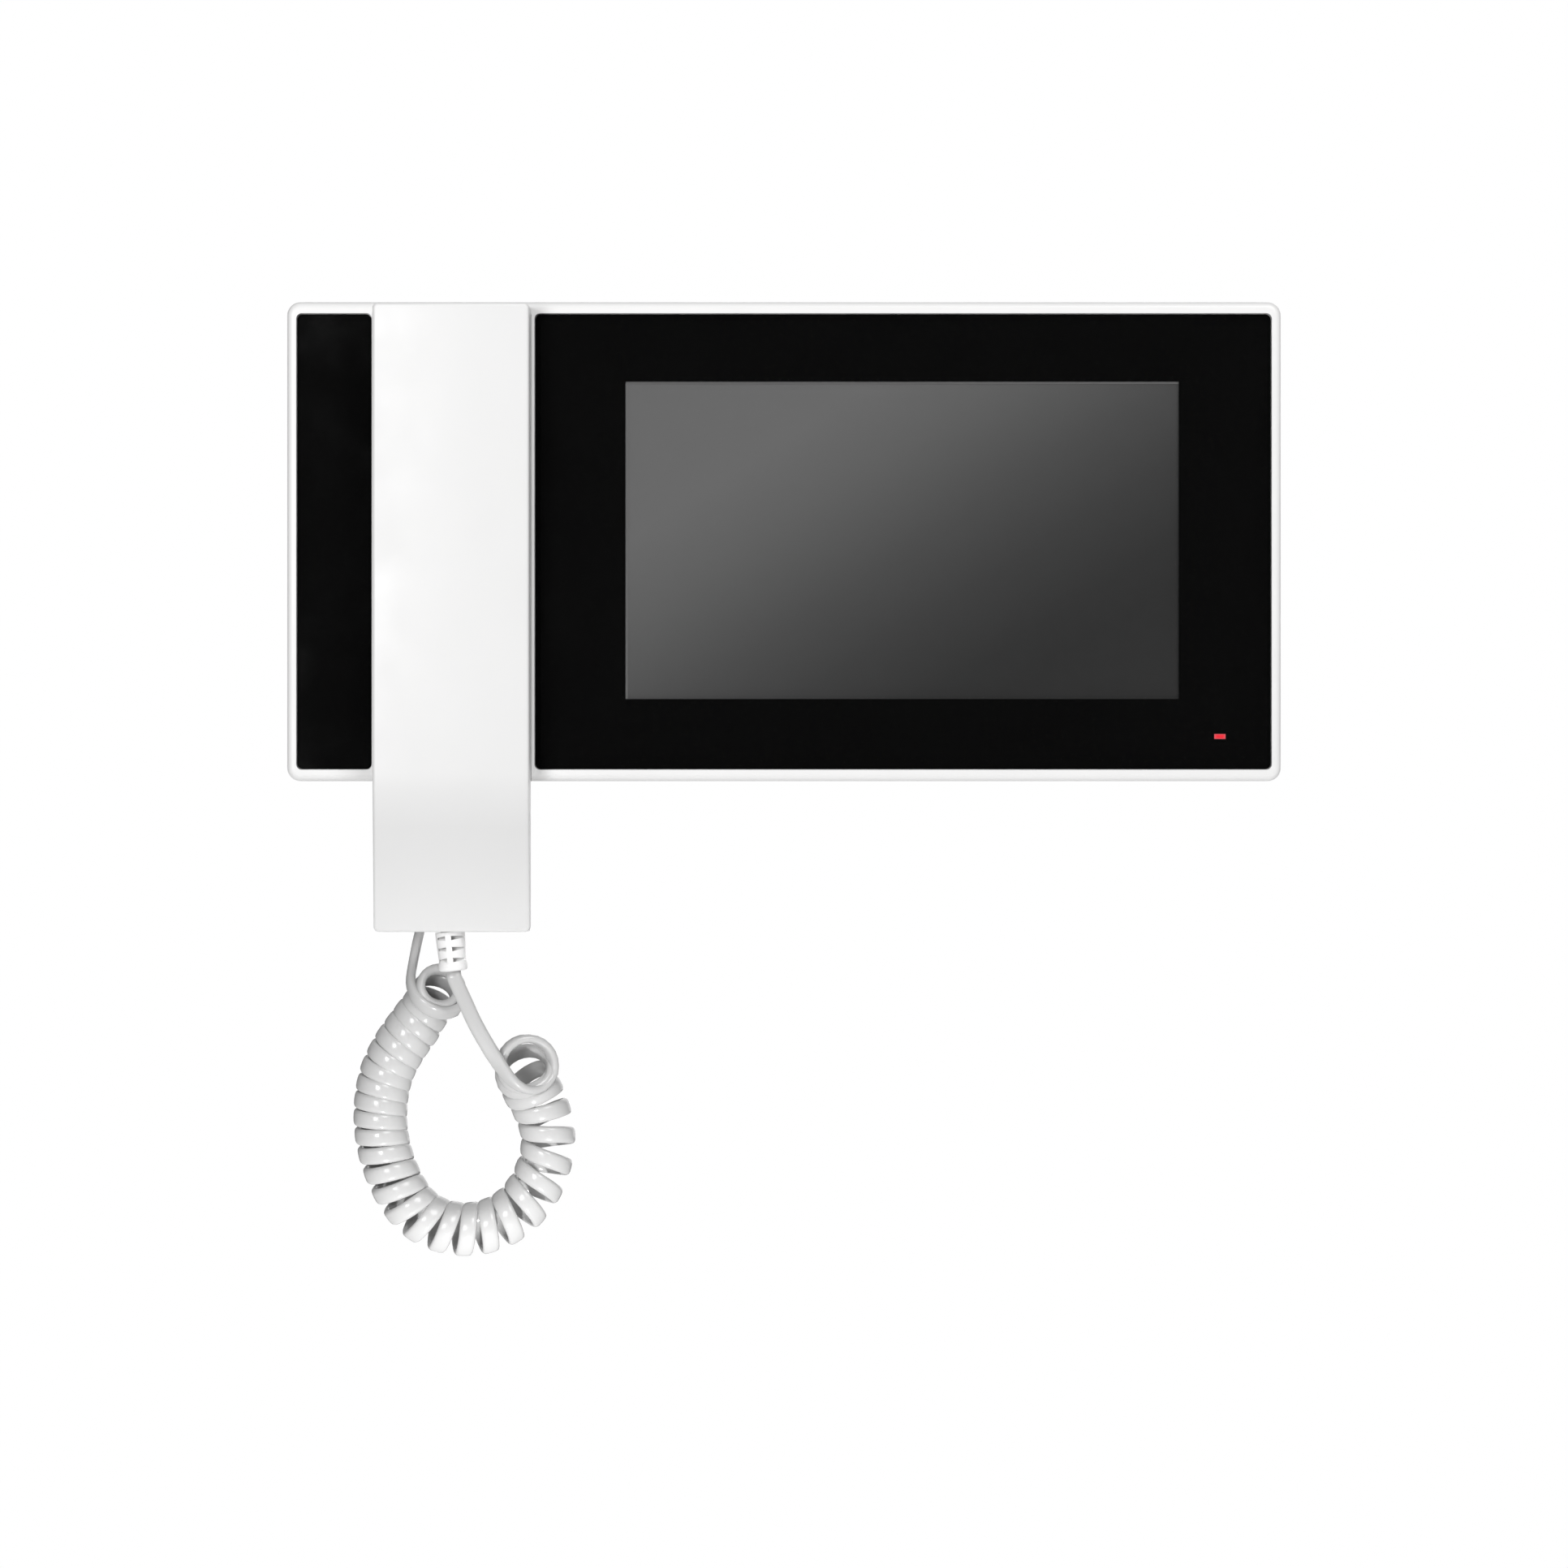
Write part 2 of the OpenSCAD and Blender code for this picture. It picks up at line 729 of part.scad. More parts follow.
module touch_board() {
    pad_r = 5;
    color(board_green)
    difference() {
        centred_block(-127, 0, 13.4, 108, [ledge_front - touch_board_t, ledge_front]);
        for (z = [-36, -12, 12, 36])
            bar(-127, z, pad_r * 0.3, [0, body_d]);
    }
}

module touch_cable() {
    cable_z = 10;
    cable_d = board_front + 1;
    color(dark_resin) {
        centred_block(-127, cable_z, 8, 5, [cable_d, ledge_front - touch_board_t]);
        block([-127, -38], [cable_z - 2, cable_z + 2], [cable_d, cable_d + 0.8]);
        centred_block(-38, cable_z, 7, 5, [board_front, cable_d + 0.8]);
    }
}

module led_board() {
    color(board_green)
    centred_block(led_x, led_z, 10, 10, [split_d, split_d + 1]);
}

module led_emitter() {
    color("#F2D9D9")
    centred_block(led_x, led_z, 2, 1.2, [split_d + 1, split_d + 1.7]);
}

module led_lens() {
    color("#FF3B47") {
        centred_block(led_x, led_z, led_w - 0.1, led_h - 0.1, [split_d + 2, glass_back]);
        centred_block(led_x, led_z, 7, 5, [split_d + 2, split_d + 3.2]);
    }
}

// ---------- Chime speaker, facing down ----------

speaker_x = 107;
speaker_d = [3.5, 15.5];

module speaker_frame() {
    color(dark_resin)
    difference() {
        block([speaker_x - 18, speaker_x + 18], [-65.4, -56], speaker_d);
        block([speaker_x - 16.4, speaker_x + 16.4], [-66, -57.2], [speaker_d[0] + 1.6, speaker_d[1] - 1.6]);
    }
}

module speaker_cone() {
    mid_d = (speaker_d[0] + speaker_d[1]) / 2;
    skin = 0.4;
    color("#5B5148")
    translate([speaker_x, -mid_d, -57.2 - skin])
    hull() {
        cube([12, 4, skin], center = true);
        translate([0, 0, -5])
        cube([31, 8, skin], center = true);
    }
}

module speaker_magnet() {
    color(steel)
    block([speaker_x - 9, speaker_x + 9], [-56, -52], [5.5, 13.5]);
}

// ---------- Hook switch ----------

module hook_switch() {
    color(dark_resin)
    difference() {
        centred_block(handset_x, plunger_z, 13, 13, [3, switch_front]);
        bar(handset_x, plunger_z, plunger_stem_r + running_gap, [4.2, switch_front + 1]);
    }
}

module hook_plunger() {
    color(white_abs) {
        bar(handset_x, plunger_z, plunger_stem_r, [5, collar_back]);
        bar(handset_x, plunger_z, 4.4, [collar_back, collar_back + collar_t]);
        bar(handset_x, plunger_z, plunger_r, [collar_back, tray_front + 0.05]);
    }
}

module hook_spring() {
    turns = 4;
    steps = 12;
    coil_r = 3.2;
    wire = 0.6;
    first = switch_front + wire / 2 + 0.05;
    last = collar_back - wire / 2 - 0.05;
    path = [
        for (i = [0 : turns * steps])
        [handset_x + coil_r * cos(360 * i / steps), first + (last - first) * i / (turns * steps),
            plunger_z + coil_r * sin(360 * i / steps)]
    ];
    color(steel)
    sweep(path, wire, wire, 6, [0, 1, 0]);
}

// ---------- Side controls ----------

module side_board() {
    color(board_green)
    difference() {
        block([119, 137.5], [-50, 22], [side_board_d, side_board_d + side_board_t]);
        for (p = side_screw_at)
            bar(p[0], p[1], m2_r + 0.15, [0, body_d]);
    }
}

module dial_pots() {
    color(dark_resin)
    for (z = [volume_z, brightness_z]) {
        centred_block(dial_x - 2, z, 9, 10, [dial_d + dial_t + 0.4, side_board_d]);
        bar(dial_x, z, pot_shaft_r, [dial_d + 0.4, dial_d + dial_t + 0.5]);
    }
}

// Thumb wheel with a grooved rim
module dial(z) {
    grooves = 24;
    difference() {
        bar(dial_x, z, dial_r, [dial_d, dial_d + dial_t]);
        bar(dial_x, z, pot_shaft_r + running_gap, [dial_d - 1, dial_d + dial_t + 1]);
        for (i = [0 : grooves - 1])
            translate([dial_x, 0, z])
            rotate([0, i * 360 / grooves, 0])
            bar(dial_r + 0.2, 0, 0.5, [dial_d - 1, dial_d + dial_t + 1]);
    }
}

module volume_dial() {
    color(dark_resin)
    dial(volume_z);
}

module brightness_dial() {
    color(dark_resin)
    dial(brightness_z);
}

module power_switch() {
    tongue_room = 2;
    color(dark_resin)
    difference() {
        block([121, 135], [power_z - 6, power_z + power_travel + 6], [7, side_board_d]);
        block([129, 136], [power_z - 2 - tongue_room, power_z + power_travel + 2 + tongue_room], [8, 11]);
    }
}

module power_slider() {
    color(white_abs) {
        block([130, 135.4], [power_z - 2, power_z + 2], [8.3, 10.7]);
        block([135.4, 140.6], [power_z - 2, power_z + 2], [8, 11]);
    }
}

// ---------- Cord jack and cradle magnet ----------

module cord_jack() {
    color(dark_resin)
    difference() {
        block([jack_x - 6.5, jack_x + 6.5], [-67.3, -50], [jack_d - 5.5, jack_d + 5.5]);
        block([jack_x - 3.95, jack_x + 3.95], [-70, -53], [jack_d - 3.4, jack_d + 3.4]);
        block([jack_x - 1.8, jack_x + 1.8], [-70, -56], [jack_d - 4.8, jack_d]);
    }
}

module cradle_magnet() {
    color(steel)
    centred_block(handset_x, magnet_z, 10, 20, [tray_back - 3, tray_back]);
}

// ---------- Handset ----------

// Cross section of the front shell: flat front with its corners turned in small flats, open towards the wall
module handset_section(inset) {
    half = handset_w / 2 - inset;
    r = max(handset_edge_r - inset, 0.4);
    flats = 5;
    corner = [
        for (i = [0 : flats])
        [half - r + r * sin(90 * i / flats), r - r * cos(90 * i / flats)]
    ];
    mirrored = [for (i = [flats : -1 : 0]) [-corner[i][0], corner[i][1]]];
    polygon(concat(corner, [[half, handset_deep], [-half, handset_deep]], mirrored));
}

// Limits the shell in depth and height: flat ends with a chamfer that runs out past the front
module handset_profile(inset) {
    top = handset_top - inset;
    bottom = handset_bottom + inset;
    front = handset_front - inset - end_chamfer;
    tip_front = front - (crease_z - handset_bottom) * tan(lean);
    out = 8;
    polygon([
        [handset_split, bottom], [tip_front, bottom], [tip_front + out, bottom + out],
        [front + out, top - out], [front, top], [handset_split, top]
    ]);
}

// Sets a side profile upright and gives it a width about the handset's centre line
module across_handset(w) {
    translate([handset_x + w / 2, 0, 0])
    rotate([0, 0, -90])
    rotate([90, 0, 0])
    linear_extrude(height = w)
    children();
}

// The upright part and the leaning part are two long bars, and the shell is what both have in common
module front_form(inset) {
    mid = (handset_top + handset_bottom) / 2;
    tall = handset_top - handset_bottom - 2 * inset;
    over = 30;
    intersection() {
        translate([handset_x, inset - handset_front, handset_bottom - over])
        linear_extrude(height = tall + 3 * over)
        handset_section(inset);
        translate([handset_x, inset - handset_front, crease_z])
        rotate([lean, 0, 0])
        translate([0, 0, -tall])
        linear_extrude(height = 3 * tall)
        handset_section(inset);
        across_handset(handset_w + over)
        handset_profile(inset);
        plate(handset_x, mid, handset_w - 2 * inset, tall, handset_tip_r,
            [handset_split - inset, handset_front + over]);
    }
}

module handset_front_shell() {
    color(white_abs) {
        difference() {
            front_form(0);
            front_form(handset_wall);
            translate([boot_x, -boot_d, handset_bottom - 1])
            cylinder(r = boot_neck_r + 0.1, h = handset_wall + 2);
        }
        for (z = handset_screw_z)
            difference() {
                bar(handset_x, z, 3, [handset_screw_pad, handset_front - handset_wall]);
                bar(handset_x, z, 1.3, [handset_screw_pad - 1, handset_screw_pad + 8]);
            }
    }
}

module rear_profile(inset) {
    back = handset_back + inset;
    chin = chin_back + inset;
    bottom = handset_bottom + inset;
    front = handset_split + (inset > 0 ? 1 : 0);
    polygon([
        [front, handset_rear_top - inset], [back, handset_rear_top - inset], [back, -69.5 - inset / 3],
        [chin, -78 - inset / 3], [chin, -100 + inset / 3], [20 + inset, bottom], [front, bottom]
    ]);
}

module handset_rear_shell() {
    color(white_abs)
    difference() {
        union() {
            difference() {
                across_handset(handset_rear_w)
                rear_profile(0);
                across_handset(handset_rear_w - 2 * handset_wall)
                rear_profile(handset_wall);
            }
            bar(handset_x, ear_z, ear_boss_r, [ear_boss_back, handset_floor]);
            for (z = handset_screw_z)
                bar(handset_x, z, 4.2, [handset_back, handset_screw_pad]);
            for (s = [-1, 1])
                centred_block(handset_x + 8 * s, handset_board_z, 4, 8, [handset_back, handset_board_d]);
        }
        bar(handset_x, ear_z, ear_bore_r, [ear_inner, handset_split]);
        bar(handset_x, ear_z, 1, [0, handset_split]);
        for (ring = [1, 2], i = [0 : 6 * ring - 1])
            translate([handset_x, 0, ear_z])
            rotate([0, i * 60 / ring, 0])
            bar(4 * ring, 0, 1, [0, handset_split]);
        for (x = [-4, 0, 4])
            bar(handset_x + x, mic_z, 0.8, [0, handset_split]);
        for (z = handset_screw_z) {
            bar(handset_x, z, 2.6, [0, handset_screw_seat]);
            bar(handset_x, z, 1.4, [0, handset_split]);
        }
    }
}

module ear_cloth() {
    color(dark_resin)
    bar(handset_x, ear_z, ear_part_r, [ear_inner, ear_inner + 0.3]);
}

module ear_gasket() {
    color(dark_resin)
    difference() {
        bar(handset_x, ear_z, ear_part_r, [ear_inner + 0.3, ear_inner + 1.3]);
        bar(handset_x, ear_z, ear_part_r - 2, [ear_inner, ear_inner + 2]);
    }
}

module ear_capsule() {
    magnet_r = 6;
    color(steel) {
        bar(handset_x, ear_z, ear_part_r, [ear_inner + 1.3, ear_inner + 7.6]);
        bar(handset_x, ear_z, magnet_r, [ear_inner + 7.6, ear_inner + 10]);
    }
}

module mic_capsule() {
    color(steel)
    bar(handset_x, mic_z, mic_r, [chin_back + handset_wall + 1.2, chin_back + 8.5]);
}

module mic_boot() {
    color(dark_resin)
    difference() {
        bar(handset_x, mic_z, mic_r + 1.5, [chin_back + handset_wall, chin_back + 8]);
        bar(handset_x, mic_z, mic_r, [chin_back + handset_wall + 1.2, chin_back + 9]);
        bar(handset_x, mic_z, 1.5, [0, chin_back + 9]);
    }
}

module handset_weight() {
    color(steel)
    centred_block(handset_x, -18, 16, 44, [handset_front - handset_wall - 5, handset_front - handset_wall]);
}

module handset_magnet() {
    color(steel)
    centred_block(handset_x, magnet_z, 10, 20, [handset_floor, handset_floor + 3]);
}

module handset_board() {
    color(board_green) {
        centred_block(handset_x, handset_board_z, 24, 8, [handset_board_d, handset_board_d + 1.2]);
        centred_block(handset_x, handset_board_z, 8, 6, [handset_board_d + 1.2, handset_board_d + 4.6]);
    }
}

module handset_screws() {
    color(steel)
    for (z = handset_screw_z)
        screw(handset_x, z, 1.25, 2.4, handset_screw_seat, handset_screw_pad + 7);
}

// Flexible boot on the handset's cord end: a leaning tapered sleeve with three rows of slots
module strain_relief() {
    slot_h = 0.9;
    root = 0.6;
    collar_h = 2.2;
    color(white_abs) {
        translate([boot_x, -boot_d, handset_bottom - eps])
        cylinder(r = boot_neck_r, h = handset_wall + 1);
        difference() {
            translate([boot_x, -boot_d, handset_bottom])
            rotate([0, -boot_lean, 0])
            difference() {
                union() {
                    translate([0, 0, -boot_len])
                    cylinder(r1 = boot_end_r, r2 = boot_top_r, h = boot_len + root);
                    translate([0, 0, -boot_len + 0.3])
                    cylinder(r = boot_end_r + 0.3, h = collar_h);
                }
                for (row = [0 : 2], side = [-1, 1])
                    translate([side * 3.4, 0, -1.6 - row * 2.6])
                    cube([4, 12, slot_h], center = true);
            }
            block([boot_x - 8, boot_x + 8], [handset_bottom, handset_bottom + 4], [boot_d - 8, boot_d + 8]);
        }
    }
}

// ---------- Cord ----------

module cord_plug() {
    color("#D8DADC") {
        block([jack_x - 3.8, jack_x + 3.8], [-69.5, -54], [jack_d - 3.2, jack_d + 3.2]);
        block([jack_x - 1.5, jack_x + 1.5], [-66, -60], [jack_d - 4.4, jack_d - 3.2]);
    }
}

module cord_lead_base() {
    color(cord_white)
    sweep(lead_base_path, cord_t, cord_w, 8, [0, 1, 0]);
}

module cord_coil() {
    color(cord_white)
    sweep(coil_path, coil_od, coil_od, 12, [0.2, 1, 0.5]);
}

module cord_lead_handset() {
    color(cord_white)
    sweep(lead_handset_path, cord_w, cord_t, 8, [0, 1, 0]);
}

wall_bracket();
bracket_lock_screw();
rear_housing();
front_frame();
frame_screws();
cradle_tray();
tray_screws();
left_glass();
left_mask();
main_glass();
main_mask();
glass_tapes();
lcd_panel();
lcd_shield();
lcd_screws();
lcd_flex();
main_board();
board_screws();
shield_can();
chips();
power_parts();
terminal_block();
touch_board();
touch_cable();
led_board();
led_emitter();
led_lens();
speaker_frame();
speaker_cone();
speaker_magnet();
hook_switch();
hook_plunger();
hook_spring();
side_board();
dial_pots();
volume_dial();
brightness_dial();
power_switch();
power_slider();
cord_jack();
cradle_magnet();
handset_front_shell();
handset_rear_shell();
ear_capsule();
ear_gasket();
ear_cloth();
mic_capsule();
mic_boot();
handset_weight();
handset_magnet();
handset_board();
handset_screws();
strain_relief();
cord_plug();
cord_lead_base();
cord_coil();
cord_lead_handset();
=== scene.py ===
"""Looks for a wall-mounted video intercom monitor with a corded handset.

The wall is the plane y = 0 and the front faces -Y. Routes and shapes are given as x, depth off the wall
and z, all in millimetres, as in the CAD model, and here() turns them into metres in the shared frame.
"""
import math

import bpy
import numpy as np
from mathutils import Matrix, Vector


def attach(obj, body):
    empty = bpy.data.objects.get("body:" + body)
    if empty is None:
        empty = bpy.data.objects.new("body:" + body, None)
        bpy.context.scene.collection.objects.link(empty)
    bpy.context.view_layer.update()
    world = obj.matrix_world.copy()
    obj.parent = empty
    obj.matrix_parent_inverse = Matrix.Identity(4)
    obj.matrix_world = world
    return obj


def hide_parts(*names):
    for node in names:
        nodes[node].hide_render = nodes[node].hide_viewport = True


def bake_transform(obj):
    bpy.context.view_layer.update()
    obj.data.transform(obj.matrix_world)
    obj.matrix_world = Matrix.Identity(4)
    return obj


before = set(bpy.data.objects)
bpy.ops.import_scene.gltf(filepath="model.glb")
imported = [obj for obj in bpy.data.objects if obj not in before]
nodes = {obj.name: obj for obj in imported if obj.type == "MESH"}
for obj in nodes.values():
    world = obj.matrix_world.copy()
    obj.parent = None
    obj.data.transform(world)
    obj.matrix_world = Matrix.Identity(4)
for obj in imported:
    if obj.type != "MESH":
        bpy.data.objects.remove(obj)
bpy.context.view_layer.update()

MM = 0.001


def here(x, depth, z):
    """A point in metres from x, depth off the wall and z in millimetres."""
    return np.array([x, -depth, z]) * MM


def unit(v):
    """v, or each row of v, at length 1."""
    return v / np.linalg.norm(v, axis=-1, keepdims=True)


def smoothstep(t):
    """0 to 1 with soft ends."""
    t = np.clip(t, 0, 1)
    return t * t * (3 - 2 * t)


def add_mesh(name, verts, faces, smooth=True):
    """A new object in the scene from points in metres and faces."""
    mesh = bpy.data.meshes.new(name)
    mesh.from_pydata([tuple(v) for v in verts], [], faces)
    mesh.polygons.foreach_set("use_smooth", [smooth] * len(mesh.polygons))
    mesh.update()
    obj = bpy.data.objects.new(name, mesh)
    bpy.context.scene.collection.objects.link(obj)
    return obj


# ---------- Camera: square on, two metres off the front of the frame ----------

BODY_FRONT = 27
CAMERA_DISTANCE = 2000
VIEW_WIDTH = 441.6
CAMERA_Z = -68.3
SENSOR = 36

camera_data = bpy.data.cameras.new("camera")
camera_data.sensor_width = SENSOR
camera_data.lens = SENSOR * CAMERA_DISTANCE / VIEW_WIDTH
camera_data.clip_start, camera_data.clip_end = 0.01, 50
camera = bpy.data.objects.new("camera", camera_data)
camera.location = here(0, BODY_FRONT + CAMERA_DISTANCE, CAMERA_Z)
camera.rotation_euler = (math.pi / 2, 0, 0)
bpy.context.scene.collection.objects.link(camera)
bpy.context.scene.camera = camera


# ---------- Cord: flat section, two plain ends and a left-handed coil between them ----------

CORD_WIDE = 4.8
CORD_THICK = 2.5
LEAD_WIDE = 4.3
LEAD_THICK = 2.8
LEAD_BASE = [
    (-95, 8, -69.5), (-95, 8, -75), (-97, 8, -84), (-99.5, 8, -92), (-101.5, 8.5, -100), (-103, 9.5, -108),
    (-104.5, 11, -115), (-105.5, 13, -121),
]
COIL = [
    (-97.5, 18.5, -125.5), (-98.5, 15.5, -127), (-101, 13, -131), (-105, 12, -137), (-109.5, 11.5, -143.5),
    (-113, 11, -151), (-114.5, 11, -160), (-114, 11, -169), (-111.5, 11, -178), (-107, 11, -186.5),
    (-101, 11, -192), (-93, 11, -194.5), (-85, 11, -194), (-77.5, 11, -190.5), (-71.5, 11, -184),
    (-68, 11.5, -176), (-67, 12.5, -167.5), (-69.3, 14, -159), (-72.8, 16.2, -152), (-73.2, 20.2, -148),
    (-71, 24.7, -147.8),
]
LEAD_HANDSET = [
    (-81, 27, -146), (-84, 28, -141), (-87, 29, -135.5), (-89.5, 29.5, -130), (-92.6, 30.5, -123),
    (-93, 30.5, -121),
]
SECTION_POINTS = 20
POINTS_PER_TURN = 24
LEAD_STEP = 1.7
# Distance between turns at places along the coil's axis: the turns lie close, and open out round the bottom
PITCH_AT = [0, 40, 52, 62, 75, 95, 110, 126, 136, 144, 156]
PITCH = [4.4, 4.3, 4.9, 5.6, 6.0, 6.0, 6.9, 7.4, 6.2, 4.8, 4.6]
# Mean radius of the turns along the axis: the coil is wound tighter at the body's end and wider at the other
RADIUS_AT = [0, 6, 16, 125, 154]
RADIUS = [5.2, 5.7, 6.45, 6.45, 7.5]
# The first turn starts at the top of the body's end, the last one leaves at the lower left of the other
COIL_START = np.array([0.0, 0, 1.0])
COIL_END = np.array([-0.75, 0, -0.6])
# The base lead first passes three quarters of a turn round the outside of the coil's end
WRAP_TURN = 0.75
WRAP_RADIUS = 7.8
WRAP_BEHIND = 4.8


def spline(points, per_span=16):
    """A smooth curve through the given points (Catmull-Rom), with per_span points to a span."""
    p = np.array(points, float)
    p = np.vstack([2 * p[0] - p[1], p, 2 * p[-1] - p[-2]])
    t = np.linspace(0, 1, per_span, endpoint=False)[:, None]
    spans = [
        0.5 * (2 * b + (c - a) * t + (2 * a - 5 * b + 4 * c - d) * t**2 + (3 * b - a - 3 * c + d) * t**3)
        for a, b, c, d in zip(p[:-3], p[1:-2], p[2:-1], p[3:])
    ]
    return np.vstack(spans + [p[-2]])


def lengths(line):
    """How far along the line each of its points is."""
    return np.concatenate([[0], np.cumsum(np.linalg.norm(np.diff(line, axis=0), axis=1))])


def at_places(where, places, values):
    """Rows of values interpolated at the given places."""
    return np.stack([np.interp(where, places, column) for column in np.asarray(values).T], axis=1)


def evenly(line, step):
    """The line again, with points about step apart."""
    along = lengths(line)
    return at_places(np.linspace(0, along[-1], round(along[-1] / step) + 1), along, line)


def averaged(values, reach):
    """Each row replaced by the mean of those within reach places of it."""
    wide = np.pad(values, [(reach, reach), (0, 0)], mode="edge")
    return np.mean([wide[i : i + len(values)] for i in range(2 * reach + 1)], axis=0)


def carried(tangents, first):
    """A direction square to each tangent, carried along the line without twisting."""
    out, last = [], np.array(first, float)
    for t in tangents:
        last = unit(last - t * (last @ t))
        out.append(last)
    return np.array(out)


def coil_strand():
    """The coil's strand: its points, the direction of its wide side, and the share of the coil passed."""
    axis = evenly(spline([here(*p) for p in COIL]), 0.15 * MM)
    along = lengths(axis)
    tangent = unit(averaged(np.gradient(axis, along, axis=0), 10))
    u = carried(tangent, (1, 0, 0))
    v = np.cross(tangent, u)

    def angle(direction, i):
        """The direction's place round the axis at its point i."""
        return math.atan2(direction @ v[i], direction @ u[i])

    pitch = np.interp(along / MM, PITCH_AT, PITCH) * MM
    turns = np.concatenate([[0], np.cumsum(np.diff(along) / pitch[1:])])
    part = (angle(COIL_START, 0) - angle(COIL_END, -1)) / math.tau % 1
    total = round(turns[-1] - part) + part
    turns *= total / turns[-1]

    # First the lead's wrap round the outside of the end, then the turns themselves
    wrap = np.linspace(0, 1, round(WRAP_TURN * POINTS_PER_TURN), endpoint=False)
    turn = np.concatenate([(wrap - 1) * WRAP_TURN, np.linspace(0, total, round(total * POINTS_PER_TURN))])
    place = np.interp(turn, turns, along)
    radius = np.interp(place / MM, RADIUS_AT, RADIUS) * MM
    in_wrap = slice(0, len(wrap))
    place[in_wrap] = WRAP_BEHIND * MM * (1 - smoothstep((wrap - 0.4) / 0.6))
    radius[in_wrap] = (WRAP_RADIUS + (RADIUS[0] - WRAP_RADIUS) * smoothstep((wrap - 0.5) / 0.5)) * MM
    theta = angle(COIL_START, 0) - math.tau * turn
    sideways, forwards = at_places(place, along, u), at_places(place, along, v)
    outwards = unit(np.cos(theta)[:, None] * sideways + np.sin(theta)[:, None] * forwards)
    strand = at_places(place, along, axis) + radius[:, None] * outwards
    return strand, unit(at_places(place, along, tangent)), place / along[-1]


def cord_route():
    """The whole cord from the body to the handset: points, wide direction and share of the coil passed."""
    strand, wide, share = coil_strand()
    base = evenly(spline([here(*p) for p in LEAD_BASE] + [strand[0], strand[4]]), LEAD_STEP * MM)
    base = base[: np.linalg.norm(base - strand[0], axis=1).argmin()]
    hand = evenly(spline([strand[-5], strand[-1]] + [here(*p) for p in LEAD_HANDSET]), LEAD_STEP * MM)
    hand = hand[np.linalg.norm(hand - strand[-1], axis=1).argmin() + 1 :]
    # The section turns from the coil's direction to its own over the first two fifths of the handset's lead
    turn = smoothstep(np.linspace(0, 2.6, len(hand)))[:, None]
    line = np.vstack([base, strand, hand])
    wide_base = np.tile([0.0, 1.0, 0.0], (len(base), 1))
    wide_hand = unit(wide[-1] * (1 - turn) + np.array([0.87, 0, 0.5]) * turn)
    wide = np.vstack([wide_base, wide, wide_hand])
    share = np.concatenate([np.zeros(len(base)), share, np.ones(len(hand))])
    # Even out the two joins
    softer, softer_wide = averaged(line, 3), averaged(wide, 6)
    for join in (len(base), len(base) + len(strand)):
        weight = np.clip(1 - np.abs(np.arange(len(line)) - join) / 9, 0, 1)[:, None] ** 0.5
        line = line * (1 - weight) + softer * weight
        wide = wide * (1 - weight) + softer_wide * weight
    return line, wide, share


def ring_faces(rings, count):
    """Faces of a closed solid whose points are rings of count points, one after another."""
    sides = [
        (i * count + k, i * count + (k + 1) % count, (i + 1) * count + (k + 1) % count, (i + 1) * count + k)
        for i in range(rings - 1)
        for k in range(count)
    ]
    return sides + [tuple(reversed(range(count))), tuple((rings - 1) * count + k for k in range(count))]


def flat_tube(name, line, wide_side, wide, thick, count):
    """A tube of flat, round-cornered section along a line, closed at both ends.

    Its wide side lies along wide_side. wide and thick hold the section's size at each point in millimetres,
    and count is how many points go round it.
    """
    tangent = unit(np.gradient(line, axis=0))
    across = unit(wide_side - tangent * (wide_side * tangent).sum(1, keepdims=True))
    up = np.cross(tangent, across)
    turn = np.linspace(0, math.tau, count, endpoint=False)
    c, s = np.cos(turn), np.sin(turn)
    # Powers below 1 make the oval's corners fuller
    x = np.outer(wide, np.sign(c) * np.abs(c) ** 0.64) / 2 * MM
    y = np.outer(thick, np.sign(s) * np.abs(s) ** 0.82) / 2 * MM
    verts = (line[:, None] + across[:, None] * x[..., None] + up[:, None] * y[..., None]).reshape(-1, 3)
    return add_mesh(name, verts, ring_faces(len(line), count))


cord_points, cord_wide, cord_share = cord_route()
in_lead = averaged(((cord_share == 0) | (cord_share == 1)).astype(float)[:, None], 8)[:, 0]
cord = flat_tube(
    "curly_cord", cord_points, cord_wide, CORD_WIDE + (LEAD_WIDE - CORD_WIDE) * in_lead,
    CORD_THICK + (LEAD_THICK - CORD_THICK) * in_lead, SECTION_POINTS,
)
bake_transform(cord)
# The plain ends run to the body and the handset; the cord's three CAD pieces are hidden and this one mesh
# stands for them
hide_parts("cord_lead_base", "cord_coil", "cord_lead_handset")


# ---------- Handset front shell: a crowned shell that leans back below a crease ----------

HANDSET_X = -93.2
HANDSET_HALF_W = 21.9
HANDSET_LOW, HANDSET_HIGH = -109.8, 66.3
HANDSET_BACK, HANDSET_FRONT = 27.5, 43
HANDSET_CORNER_R = 1.5
HANDSET_EDGE_R = 0.9
HANDSET_WALL = 2
CROWN = 1.1
CREASE_Z = -68.5
LEAN = math.tan(math.radians(8.3))
CURVE_FROM_Z = -45
CURVE = math.tan(math.radians(3.5))
BOOT_X, BOOT_D = -93.9, 30.5


def spread(low, high, edge, steps, edge_steps=10):
    """Places from low to high, close together within edge of either end."""
    return np.unique(np.concatenate([
        np.linspace(low, low + edge, edge_steps + 1),
        np.linspace(low + edge, high - edge, steps),
        np.linspace(high - edge, high, edge_steps + 1),
    ]))


